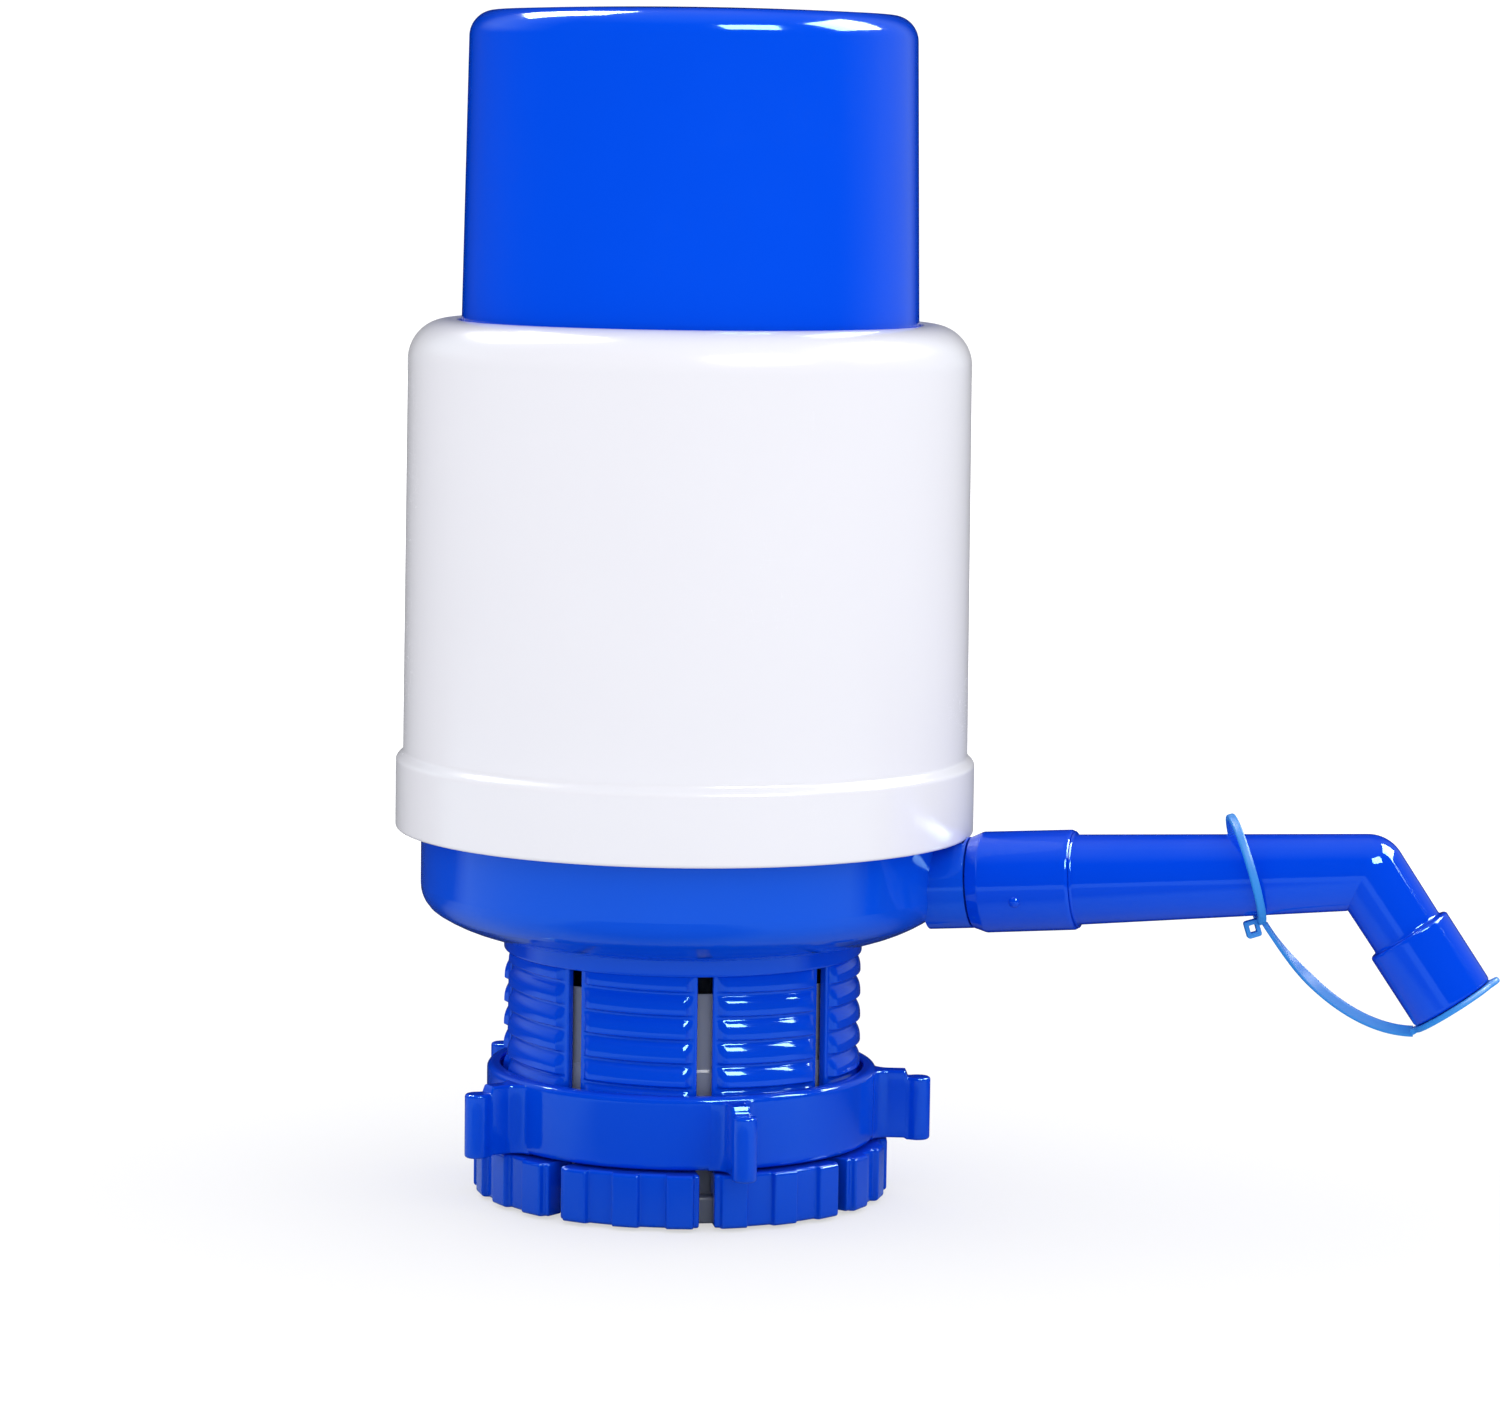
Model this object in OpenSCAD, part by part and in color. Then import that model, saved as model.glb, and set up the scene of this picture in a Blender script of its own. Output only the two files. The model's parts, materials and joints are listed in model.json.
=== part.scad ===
// Hand pump for large water bottles: a press cap works a bellows inside a white cover,
// the air goes down into the bottle, and the water comes up and out of a side spout.
// Z = 0 is the lower end of the neck collar, and the spout points along +X.

/* [Neck liner] */
// Bore radius of the liner, which grips the bottle neck
neck_r = 27.6; // [27:0.1:28]
// Height of the wall that grips the neck
grip_h = 26; // [22:0.5:27.5]
// Extra bore radius above the gripping wall
neck_relief = 0.4; // [0.35:0.05:0.45]
// Height of the liner
liner_h = 39; // [34:0.5:41]
// Thickness of the liner
liner_t = 1; // [0.9:0.1:1.2]
// Height of the liner's foot
liner_foot_h = 4.6; // [3:0.1:6]
// How far the foot stands out
liner_foot_rise = 2.9; // [2:0.1:3.4]

/* [Neck collar] */
// Height of the collar up to the bowl
collar_h = 45.3; // [44:0.1:50]
// Thickness of the collar's fingers
finger_wall = 1.5; // [1.2:0.1:2]
// Number of slots between the fingers
slot_count = 8; // [6:1:10]
// Width of a slot
slot_w = 2.6; // [2:0.1:3.4]
// Height of the closed band above the slots
top_band_h = 3; // [2.4:0.1:4]
// How far the closed band stands out from the fingers
top_band_rise = 1.1; // [0.6:0.1:1.4]
// Height from one thread ridge to the next
ridge_pitch = 4.1; // [3.6:0.1:4.8]
// How far a ridge stands out at the top of the collar
ridge_rise = 0.9; // [0.6:0.05:1.1]
// How much more it stands out at the bottom, so that the lock ring squeezes the fingers
ridge_taper = 0.35; // [0.1:0.05:0.5]
// Bare length at each end of a ridge, beside the slot
ridge_margin = 1.2; // [0.6:0.1:2]
// Height of the grip flange
flange_h = 9.2; // [8:0.1:11]
// How far the flange stands out from the fingers
flange_rise = 5.1; // [4.4:0.1:6]
// Number of grip ribs round the flange
rib_count = 24; // [16:4:32]
// How far a grip rib stands out
rib_rise = 1; // [0.6:0.1:1.6]
// Width of a grip rib
rib_w = 4.4; // [3:0.1:5.2]

/* [Lock ring] */
// Height of the lock ring
ring_h = 12.6; // [10:0.1:14]
// Wall of the lock ring
ring_wall = 2.35; // [1.8:0.05:3]
// Number of wings
wing_count = 5; // [3:1:8]
// How far a wing reaches out from the ring
wing_reach = 9.6; // [6:0.2:12]
// Thickness of a wing
wing_t = 3.2; // [2.4:0.1:4]
// Radius of the bead along a wing's outer edge
wing_bead_r = 2.1; // [1.8:0.1:2.6]
// How much lower than the ring the wing's web ends
web_step = 0.6; // [0.2:0.1:1]
// How much lower than the ring the bead ends
wing_step = 1.8; // [1.2:0.1:2.4]
// How far the bead hangs below the wing
bead_drop = 0.3; // [0.1:0.05:0.3]
// Turn of the first wing from the spout
wing_turn = 12; // [0:1:60]
// Number of thread lugs inside the ring
lug_count = 4; // [3:1:6]

/* [Bowl] */
// Outer radius of the bowl
bowl_r = 45.9; // [44.5:0.1:47]
// Wall of the bowl
bowl_wall = 2; // [1.6:0.1:2.6]
// Thickness of the bowl's floor
floor_t = 3.2; // [2.8:0.1:4]
// Height of the bowl that shows below the cover
bowl_h = 18.4; // [17.6:0.1:22]
// Width of the bowl's rounded lower corner
bowl_corner_w = 16; // [12:0.5:18]
// Height of the bowl's rounded lower corner
bowl_corner_h = 8.5; // [7:0.5:10]
// Radius of the tight end of that corner
bowl_corner_r = 5.5; // [4:0.25:6.5]

/* [Spout] */
// Rise of the spout above level, in degrees
spout_rise = 4.4; // [2:0.2:6]
// Height of the spout's start above the bowl's underside
spout_z = 11.2; // [10.8:0.1:11.6]
// Radius of the bowl's spout boss
boss_r = 7.85; // [7.4:0.05:8.2]
// Length of the boss outside the bowl
boss_len = 5.8; // [4:0.1:10]
// Radius of the spigot that the spout turns on
spigot_r = 6.42; // [6:0.02:6.6]
// Length of that spigot
spigot_len = 13; // [11:0.5:15]
// Radius of the spout's sleeve
sleeve_r = 8.7; // [8.5:0.05:9.4]
// Length of the sleeve
sleeve_len = 18.1; // [17:0.1:22]
// Length of the pipe from the sleeve to its bend
pipe_len = 49.9; // [40:0.5:70]
// Pipe radius at the sleeve
pipe_r = 7.75; // [7.4:0.05:8]
// Pipe radius at the bend and below it
pipe_end_r = 6.4; // [6.1:0.05:6.8]
// Angle of the nozzle below level, in degrees
nozzle_drop = 55.5; // [40:0.5:70]
// Length from the bend to the nozzle's tip sleeve
nozzle_len = 12.4; // [11:0.2:18]
// Length of the tip sleeve
tip_len = 13.8; // [10:0.2:18]
// Radius of the tip sleeve
tip_r = 7.5; // [7.2:0.05:8]
// Radius of the water passage in the spout
bore_r = 4.9; // [4.4:0.05:5.2]

/* [Dust cap and strap] */
// Radius of the plug that closes the nozzle
plug_r = 5.8; // [5.5:0.05:6]
// Depth of the plug
plug_len = 5; // [3.5:0.1:6.5]
// How far the cap's disc stands out past the nozzle tip
disc_lip = 0.3; // [0.2:0.05:1.2]
// Thickness of the disc
disc_t = 1; // [0.8:0.1:1.6]
// Place of the strap's ring along the spout
loop_u = 47.3; // [36:0.5:52]
// Inner radius of the strap's ring
loop_r = 8.5; // [8.2:0.05:8.8]
// Thickness of the strap
strap_t = 1.6; // [1.2:0.1:2]
// Width of the strap
strap_w = 2.4; // [2:0.1:4]
// Slope of the strap where it leaves the ring, in degrees
strap_slope = -53; // [-60:1:-44]

/* [Cover] */
// Height of the cover
cover_h = 88.1; // [84:0.5:110]
// How far the cover's shoulder stands out past the bowl
cover_step = 2.75; // [2.5:0.05:4]
// How much wider the cover is at its band
cover_draft = 0.45; // [0.1:0.05:0.8]
// Height of the thicker band at the cover's foot
band_h = 13.4; // [12:0.2:18]
// How far the band stands out
band_rise = 1.25; // [0.8:0.05:1.8]
// Radius of the cover's shoulder
shoulder_r = 7; // [4:0.25:8]
// Wall of the cover
cover_wall = 1.8; // [1.4:0.1:2.2]

/* [Press cap] */
// Height of the press cap above the cover
cap_h = 53.5; // [48:0.5:64]
// How far the press cap stands in from the cover's shoulder
cap_step = 9.15; // [8.8:0.05:11]
// How much narrower the cap is at the top
cap_draft = 1; // [0.2:0.1:1.4]
// Radius of the cap's top edge
cap_edge_r = 4.5; // [3:0.25:6]
// Crown of the cap's top face
cap_dome = 0.8; // [0.4:0.1:1.2]
// Wall of the cap
cap_wall = 2; // [1.6:0.1:2.6]
// Travel of the cap
stroke = 46; // [30:1:47]
// Height of the guide ring round the cap's foot
guide_h = 9.5; // [6:0.5:12]

/* [Bellows, spring and valves] */
// Number of folds in the bellows
fold_count = 12; // [8:1:14]
// Depth of a fold
fold_depth = 6; // [4:0.5:7]
// Wall of the bellows
bellows_wall = 1.2; // [0.8:0.1:1.5]
// Thickness of the bellows' end flanges
bellows_flange_t = 1.5; // [1.2:0.1:2]
// Thickness of the plate under the bellows
seat_t = 2.5; // [2:0.1:3]
// Thickness of the gasket under that plate
seat_gasket_t = 0.8; // [0.6:0.1:1.2]
// Height of the ring that clamps the bellows' foot
clamp_h = 2.6; // [2:0.1:3.4]
// Mean radius of the return spring
spring_r = 20; // [17:0.5:21]
// Radius of the spring's wire
wire_r = 1; // [0.8:0.1:1.2]
// Number of turns of the spring
spring_turns = 13; // [10:1:16]
// Radius of the air valves
valve_r = 7.5; // [6.5:0.25:9]
// Thickness of the air valves
valve_t = 1; // [0.8:0.1:1.4]
// Thickness of the gasket on the bottle's mouth
gasket_t = 2.5; // [2:0.1:3]
// Radius of the nipple that the dip tube pushes onto
nipple_r = 5; // [4.4:0.1:5.6]
// Length of that nipple
nipple_len = 15; // [10:0.5:15.5]

/* [Hidden] */
$fn = 96;

blue = [0.02, 0.29, 0.9];
cap_blue = [0.02, 0.36, 0.96];
bowl_blue = [0.1, 0.36, 0.92];
strap_blue = [0.2, 0.6, 0.93];
cover_white = [0.92, 0.92, 0.95];
milky = [0.88, 0.9, 0.9];
seal_grey = [0.6, 0.62, 0.64];
steel = [0.72, 0.73, 0.75];

// clearances
run_fit = 0.08;     // between a shaft and its bore
seat_fit = 0.1;     // between parts that are pushed together
air = 0.3;          // between moving faces
cut = 0.5;          // how far a cutting shape passes the face it opens
root = 0.5;         // how far a rib or ridge is sunk into its wall

// neck liner and collar
liner_step = 0.15;  // how much thinner the liner is above its gripping wall, outside
finger_in_r = neck_r + liner_t + seat_fit;
finger_r = finger_in_r + finger_wall;
slot_top = collar_h - top_band_h;
band_ring_r = finger_r + top_band_rise;
flange_r = finger_r + flange_rise;
flange_edge = 0.5;
tongue_h = 1.6;
tongue_in_r = finger_in_r + 0.3;
tongue_out_r = finger_r;
ridge_up = 2.1;     // from a ridge's tip to the top of its long flank
ridge_down = 1;     // from a ridge's tip to the foot of its short flank
ridge_flat = 0.4;
ridge_root = 0.25;  // how far a ridge is sunk into its finger
ridge_ref_z = 0.61 * ridge_pitch;   // height of the first ridge tip at the spout's side
lug_z = 1.2;        // height of the ring's lugs above the ring's lower face
lug_h = 2;
lug_span = 20;

// lock ring
ring_z = flange_h + 0.4;
ring_in_r = finger_r + ridge_rise + ridge_taper + air;
ring_out_r = ring_in_r + ring_wall;
ring_edge = 0.8;
wing_root_r = 3;
fillet_bite = 0.06;  // how far a fillet's circle cuts into the ring and the web

// bowl
cover_z = collar_h + bowl_h;
cover_r = bowl_r + cover_step;         // cover radius at the shoulder
cap_r = cover_r - cap_step;            // cap radius where it enters the cover
rim_in_r = bowl_r - bowl_wall;
corner_z = collar_h + bowl_corner_h;
corner_x = bowl_r - bowl_corner_w;
sweep_r = (pow(bowl_corner_w, 2) + pow(bowl_corner_h, 2) - 2 * bowl_corner_w * bowl_corner_r)
    / (2 * (bowl_corner_h - bowl_corner_r));
sweep_a = atan2(bowl_corner_w - bowl_corner_r, sweep_r - bowl_corner_h);
floor_z = collar_h + floor_t;
skirt_z = cover_z + 0.5;             // flange that closes the gap under the cover
skirt_t = 2.5;
skirt_r = cover_r + cover_draft + band_rise - cover_wall - 0.15;
ledge_z = skirt_z + skirt_t + seat_fit;   // cover's snap ledge
ledge_t = 2.8;
snap_z = ledge_z + ledge_t + 0.2;
snap_h = 1.2;
snap_rise = 0.7;
seat_ledge_z = cover_z - 0.5;
seat_ledge_h = 2.2;
seat_ledge_w = 2.4;

// spout
boss_x = bowl_r + boss_len;
boss_z = collar_h + spout_z;
channel_r = 6.2;
channel_bore = 3.8;
channel_z = boss_z - boss_x * tan(spout_rise);   // height of the water channel at the pump's axis
socket_r = spigot_r + run_fit;
socket_len = spigot_len + 1;
sleeve_edge = 2.2;
bend_u = sleeve_len + pipe_len;
elbow_step = 0.1;
nozzle_end = nozzle_len + tip_len;
mouth_r = plug_r + run_fit;
mouth_len = plug_len + 2;
seal_r = 0.65;
seal_u = 5;
nub_r = 1.1;
nub_u = 8.6;
nub_turn = 17;

// cover and press cap
cover_top = cover_z + cover_h;
cover_top_t = 2;
cover_hole_r = cap_r + 0.5;
cap_top = cover_top + cap_h;
cap_top_r = cap_r - cap_draft;
dome_r = pow(cap_top_r - cap_edge_r, 2) / (2 * cap_dome);
guide_top = cover_top - cover_top_t - air;
guide_r = cover_r - cover_wall - air;
guide_in_r = cap_r - cap_wall;
guide_wall = 2;
flange_t = 2.6;

// bellows stack
gasket_z = seat_ledge_z;
seat_z = gasket_z + seat_gasket_t;
foot_z = seat_z + seat_t;
clamp_z = foot_z + bellows_flange_t;
rim_z = clamp_z + clamp_h + 1.8;
stack_r = rim_in_r - 0.2;
bellows_r = cap_top_r - cap_wall - 2;
bellows_in_r = bellows_r - fold_depth;
crown_t = 2.5;
crown_drop = 12.3;
crown_z = cap_top - crown_drop;      // underside of the crown plate
crown_r = bellows_in_r - 1;
bellows_top = crown_z + crown_t + bellows_flange_t;
bellows_bore = bellows_in_r - 6.5;
clamp_in_r = bellows_r + 2.5;
hub_r = 14;
hub_wall = 2;
hub_rib_count = 8;
hub_rib_t = 1.6;
hub_rib_inset = 2;
air_slot_w = 3;
air_slot_h = 2.5;
hub_top = cap_top - cap_dome - cap_wall - 1.2;
spring_h = crown_z - foot_z;
spring_rib_h = 3;
spring_rib_gap = 0.6;                // between a plate's rib and the spring's coils
stem_r = 1.5;
vent_r = 1.3;
vent_ring_r = 4.6;
vent_count = 6;

// neck parts
gasket_r = finger_in_r - 0.5;
gasket_in_r = 19.5;
rib_in_r = 17.8;
nipple_flange_r = 9;
nipple_bore = 3.5;
nipple_spigot_r = 5.5;
nipple_spigot_h = floor_t - 0.3;
connector_seal_r = 0.7;
connector_seal_ring_r = 7.3;
port_r = 1.5;
port_ring_r = 14;

// strap and dust cap
disc_r = tip_r + disc_lip;
tab_w = 4.5;
tab_reach = 1.1;
anchor_reach = 0.8;
loop_t = 1.3;
loop_w = 1.9;
loop_lean = 13;
loop_rise = 1;                          // how far the ring sits above the pipe's axis
loop_yaw = 16;
eye_w = 3;
eye_h = 2;
eye_wall = 0.8;
strap_gap = 0.7;    // between the strap's end and the dust cap
spiral_sides = 6;
spiral_steps = 16;

// a point of the spout's middle plane: u along the spout, d below its axis
function spout_at(u, d) = [
    boss_x + u * cos(spout_rise) + d * sin(spout_rise),
    boss_z + u * sin(spout_rise) - d * cos(spout_rise)
];
// a point of the same plane: v along the nozzle from the bend, d below and inside it
function nozzle_at(v, d) = spout_at(bend_u, 0) + [
    v * cos(nozzle_drop) - d * sin(nozzle_drop),
    -v * sin(nozzle_drop) - d * cos(nozzle_drop)
];

loop_low = loop_r + loop_t / 2;
strap_start = spout_at(
    loop_u + loop_low * sin(loop_lean) + loop_w / 2 + air,
    loop_low * cos(loop_lean) - loop_rise + strap_t / 2
);
strap_end = nozzle_at(nozzle_end + disc_t / 2, disc_r + anchor_reach + strap_gap);
strap_run = strap_end - strap_start;
strap_turn = 2 * (atan2(strap_run[1], strap_run[0]) - strap_slope);
strap_r = norm(strap_run) / (2 * sin(strap_turn / 2));
strap_centre = strap_start + strap_r * [-sin(strap_slope), cos(strap_slope)];

// ---------- helpers ----------

// Local Z runs along the spout from the end of its boss, and local X points down
module on_spout(u = 0) {
    translate([boss_x, 0, boss_z])
        rotate([0, 90 - spout_rise, 0])
            translate([0, 0, u]) children();
}

// Local Z runs down the nozzle from the bend, and local X points back under the spout
module on_nozzle(v = 0) {
    translate([spout_at(bend_u, 0)[0], 0, spout_at(bend_u, 0)[1]])
        rotate([0, 90 + nozzle_drop, 0])
            translate([0, 0, v]) children();
}

module tube(outer, inner, h) {
    difference() {
        cylinder(r = outer, h = h);
        translate([0, 0, -cut]) cylinder(r = inner, h = h + 2 * cut);
    }
}

// A ring of rectangular section with its outer edges cut at 45 degrees
module edged_disc(r, h, edge) {
    rotate_extrude()
        polygon([[0, 0], [r - edge, 0], [r, edge], [r, h - edge], [r - edge, h], [0, h]]);
}

module around(count, first = 0) {
    for (i = [0 : count - 1]) rotate([0, 0, first + i * 360 / count]) children();
}

// ---------- neck collar ----------

function ridge_crest(z) = finger_r + ridge_rise + ridge_taper * (1 - z / collar_h);

// One ridge across a finger: its tip is low, with a long flank above and a short one below
module ridge(z) {
    crest = ridge_crest(z);
    deep = ridge_root / (crest - finger_r);    // how much further a flank runs inside the wall
    half_arc = 180 / slot_count - asin((slot_w / 2 + ridge_margin) / finger_r);
    lead = atan(ridge_pitch / (2 * PI * finger_r));
    translate([0, 0, z]) rotate([-lead, 0, 0]) rotate([0, 0, -half_arc])
        rotate_extrude(angle = 2 * half_arc)
            polygon([
                [finger_r - ridge_root, ridge_up * (1 + deep)],
                [crest, 0],
                [crest, -ridge_flat],
                [finger_r - ridge_root, -ridge_down - (ridge_down - ridge_flat) * deep]
            ]);
}

module grip_flange() {
    intersection() {
        linear_extrude(flange_h) {
            circle(flange_r);
            around(rib_count)
                translate([0, -rib_w / 2]) square([flange_r + rib_rise, rib_w]);
        }
        edged_disc(flange_r + rib_rise, flange_h, flange_edge);
    }
}

module neck_collar() {
    lowest = ring_z + lug_z + lug_h + ridge_down + 2 * air;
    highest = slot_top - ridge_up / 2;
    color(blue) difference() {
        union() {
            grip_flange();
            translate([0, 0, slot_top]) cylinder(r = band_ring_r, h = top_band_h);
            cylinder(r = tongue_out_r, h = collar_h + tongue_h);
            for (k = [0 : slot_count - 1]) {
                first = ridge_ref_z - ridge_pitch * k / slot_count;
                low_count = ceil((lowest - first) / ridge_pitch);
                high_count = floor((highest - first) / ridge_pitch);
                for (n = [low_count : high_count])
                    rotate([0, 0, k * 360 / slot_count]) ridge(first + n * ridge_pitch);
            }
        }
        translate([0, 0, -cut]) cylinder(r = finger_in_r, h = collar_h);
        translate([0, 0, -cut])
            cylinder(
                r = neck_r + liner_t + liner_foot_rise + seat_fit,
                h = cut + liner_foot_h + seat_fit
            );
        translate([0, 0, collar_h - cut]) cylinder(r = tongue_in_r, h = tongue_h + 2 * cut);
        around(slot_count, 180 / slot_count)
            translate([neck_r / 2, -slot_w / 2, -cut])
                cube([flange_r + rib_rise, slot_w, slot_top + cut]);
    }
}

// ---------- neck liner ----------

module neck_liner() {
    outer = neck_r + liner_t;
    color(milky) rotate_extrude()
        polygon([
            [neck_r, 0],
            [outer + liner_foot_rise, 0],
            [outer + liner_foot_rise, liner_foot_h - 0.5],
            [outer + liner_foot_rise - 0.5, liner_foot_h],
            [outer, liner_foot_h],
            [outer, grip_h - liner_step],
            [outer - liner_step, grip_h],
            [outer - liner_step, liner_h],
            [neck_r + neck_relief, liner_h],
            [neck_r + neck_relief, grip_h + neck_relief],
            [neck_r, grip_h]
        ]);
}

// ---------- lock ring ----------

// A wing in plan: a web from the ring to its bead, with hollow fillets where it leaves the ring
module wing_plan() {
    reach = ring_out_r + wing_reach - wing_bead_r;
    fillet_y = wing_t / 2 + wing_root_r - fillet_bite;
    fillet_x = sqrt(pow(ring_out_r + wing_root_r - fillet_bite, 2) - pow(fillet_y, 2));
    translate([ring_in_r + ring_wall / 2, -wing_t / 2])
        square([reach - ring_in_r - ring_wall / 2, wing_t]);
    difference() {
        translate([ring_in_r + ring_wall / 2, -fillet_y])
            square([fillet_x - ring_in_r - ring_wall / 2, 2 * fillet_y]);
        translate([fillet_x, fillet_y]) circle(wing_root_r);
        translate([fillet_x, -fillet_y]) circle(wing_root_r);
    }
}

module lock_ring() {
    reach = ring_out_r + wing_reach - wing_bead_r;
    color(blue) translate([0, 0, ring_z]) {
        difference() {
            union() {
                edged_disc(ring_out_r, ring_h, ring_edge);
                around(wing_count, wing_turn) {
                    linear_extrude(ring_h - web_step) wing_plan();
                    translate([reach, 0, -bead_drop])
                        cylinder(r = wing_bead_r, h = ring_h - wing_step + bead_drop);
                }
            }
            translate([0, 0, -cut]) cylinder(r = ring_in_r, h = ring_h + 2 * cut);
        }
        around(lug_count, wing_turn)
            rotate([0, 0, -lug_span / 2])
                rotate_extrude(angle = lug_span)
                    translate([finger_r + air, lug_z])
                        square([ring_in_r - finger_r - air + root, lug_h]);
    }
}

// ---------- bowl ----------

// Half section of the bowl's body, drawn in by inset, with floor_in more at the floor
module bowl_shape(inset, floor_in, top) {
    big = sweep_r - inset;
    small = bowl_corner_r - inset;
    turn = [corner_x, collar_h + sweep_r];
    wedge = 2 * sweep_r;
    intersection() {
        union() {
            translate([0, corner_z]) square([bowl_r - inset, top - corner_z]);
            translate([bowl_r - bowl_corner_r, corner_z]) circle(small);
            translate([0, collar_h + inset])
                square([corner_x, bowl_corner_h]);
            intersection() {
                translate(turn) circle(big, $fn = 192);
                polygon([
                    turn,
                    turn + [0, -wedge],
                    turn + wedge * [sin(sweep_a), -cos(sweep_a)]
                ]);
            }
            polygon([
                [0, corner_z],
                [corner_x, collar_h + inset],
                turn + big * [sin(sweep_a), -cos(sweep_a)],
                [bowl_r - bowl_corner_r, corner_z]
            ]);
        }
        translate([0, collar_h + floor_in]) square([bowl_r + cut, top - collar_h]);
    }
}

module base_bowl() {
    hub_h = channel_z + channel_bore + 2.2 - floor_z;
    color(bowl_blue) difference() {
        union() {
            difference() {
                union() {
                    rotate_extrude() bowl_shape(0, 0, rim_z);
                    translate([0, 0, skirt_z]) cylinder(r = skirt_r, h = skirt_t);
                    translate([0, 0, snap_z])
                        cylinder(r1 = bowl_r + snap_rise, r2 = bowl_r - root, h = snap_h);
                }
                rotate_extrude() bowl_shape(bowl_wall, floor_t, rim_z + cut);
            }
            // ledge that carries the bellows stack
            translate([0, 0, seat_ledge_z - seat_ledge_h]) difference() {
                cylinder(r = rim_in_r + root, h = seat_ledge_h);
                translate([0, 0, -cut])
                    cylinder(r1 = rim_in_r, r2 = rim_in_r - seat_ledge_w, h = seat_ledge_h + cut);
                cylinder(r = rim_in_r - seat_ledge_w, h = seat_ledge_h + cut);
            }
            // bead that keeps the clamp ring down
            translate([0, 0, clamp_z + clamp_h + seat_fit])
                tube(rim_in_r + root, rim_in_r - 0.5, 1);
            // hub over the dip tube's connector
            translate([0, 0, floor_z - root]) cylinder(r = nipple_flange_r, h = hub_h + root);
            // inclined water channel, boss and spigot
            intersection() {
                on_spout(-boss_x) cylinder(r = channel_r, h = boss_x);
                rotate_extrude() bowl_shape(0, root, seat_ledge_z - root);
            }
            difference() {
                on_spout(-boss_len - bowl_wall) cylinder(r = boss_r, h = boss_len + bowl_wall - air);
                rotate_extrude() bowl_shape(bowl_wall / 2, 0, rim_z);
                // seat of the cover's rim
                translate([0, 0, cover_z - seat_fit])
                    cylinder(r = cover_r + cover_draft + band_rise + seat_fit, h = boss_r);
            }
            on_spout(-boss_len - bowl_wall)
                cylinder(r = spigot_r, h = boss_len + bowl_wall + spigot_len);
            // rib that centres the mouth gasket
            translate([0, 0, collar_h - gasket_t + 0.5])
                tube(gasket_in_r - seat_fit, rib_in_r, gasket_t + root);
        }
        // water way
        on_spout(-boss_x - channel_bore) cylinder(r = channel_bore, h = boss_x + spigot_len + 2 * channel_bore);
        translate([0, 0, collar_h]) cylinder(r = channel_bore - 0.4, h = channel_z - collar_h);
        translate([0, 0, collar_h - cut])
            cylinder(r = nipple_spigot_r + seat_fit, h = nipple_spigot_h + cut + seat_fit);
        // seal groove on the spigot
        on_spout(seal_u - 1.1 * seal_r)
            tube(spigot_r + cut, spigot_r - 2 * seal_r, 2.2 * seal_r);
        // groove for the collar's tongue
        translate([0, 0, collar_h - cut])
            tube(tongue_out_r + seat_fit, tongue_in_r - seat_fit, tongue_h + cut + seat_fit);
        // air ports into the bottle
        around(4, 45) translate([port_ring_r, 0, collar_h - cut])
            cylinder(r = port_r, h = floor_t + 2 * cut);
    }
}

module neck_gasket() {
    color(seal_grey) translate([0, 0, collar_h - gasket_t]) tube(gasket_r, gasket_in_r, gasket_t);
}

module tube_connector() {
    color(milky) difference() {
        union() {
            translate([0, 0, collar_h - gasket_t]) cylinder(r = nipple_flange_r, h = gasket_t);
            translate([0, 0, collar_h - gasket_t - nipple_len])
                cylinder(r = nipple_r, h = nipple_len + root);
            translate([0, 0, collar_h - root])
                cylinder(r = nipple_spigot_r, h = nipple_spigot_h + root);
        }
        translate([0, 0, collar_h - gasket_t - nipple_len - cut])
            cylinder(r = nipple_bore, h = nipple_len + gasket_t + nipple_spigot_h + 2 * cut);
        translate([0, 0, collar_h - 2 * connector_seal_r])
            tube(
                connector_seal_ring_r + connector_seal_r + seat_fit,
                connector_seal_ring_r - connector_seal_r - seat_fit,
                2 * connector_seal_r + cut
            );
    }
}

module connector_seal() {
    color(seal_grey) translate([0, 0, collar_h - connector_seal_r])
        rotate_extrude() translate([connector_seal_ring_r, 0]) circle(connector_seal_r, $fn = 32);
}

// ---------- spout ----------

module elbow_ball(r) {
    on_nozzle() sphere(r, $fn = 64);
}

module spout() {
    color(blue) difference() {
        union() {
            on_spout() rotate_extrude()
                polygon([
                    [0, 0],
                    [boss_r, 0],
                    [sleeve_r, sleeve_edge],
                    [sleeve_r - 0.1, sleeve_len - 0.4],
                    [sleeve_r - 0.6, sleeve_len],
                    [pipe_r, sleeve_len],
                    [pipe_end_r, bend_u],
                    [0, bend_u]
                ]);
            elbow_ball(pipe_end_r + elbow_step);
            on_nozzle() rotate_extrude()
                polygon([
                    [0, 0],
                    [pipe_end_r - 0.05, 0],
                    [pipe_end_r - 0.15, nozzle_len],
                    [tip_r - 0.3, nozzle_len],
                    [tip_r, nozzle_len + 0.4],
                    [tip_r - 0.1, nozzle_end - 0.3],
                    [tip_r - 0.4, nozzle_end],
                    [0, nozzle_end]
                ]);
            on_spout(nub_u) rotate([0, 0, -90 + nub_turn])
                translate([sleeve_r - nub_r / 2, 0, 0]) sphere(nub_r, $fn = 32);
        }
        on_spout(-cut) cylinder(r = socket_r, h = socket_len + cut);
        on_spout() cylinder(r = bore_r, h = bend_u);
        elbow_ball(bore_r + elbow_step);
        on_nozzle() cylinder(r = bore_r, h = nozzle_end);
        on_nozzle(nozzle_end - mouth_len) cylinder(r = mouth_r, h = mouth_len + cut);
    }
}

module spout_seal() {
    color(seal_grey) on_spout(seal_u)
        rotate_extrude() translate([spigot_r - seal_r, 0]) circle(seal_r, $fn = 32);
}

// ---------- strap and dust cap ----------

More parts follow.
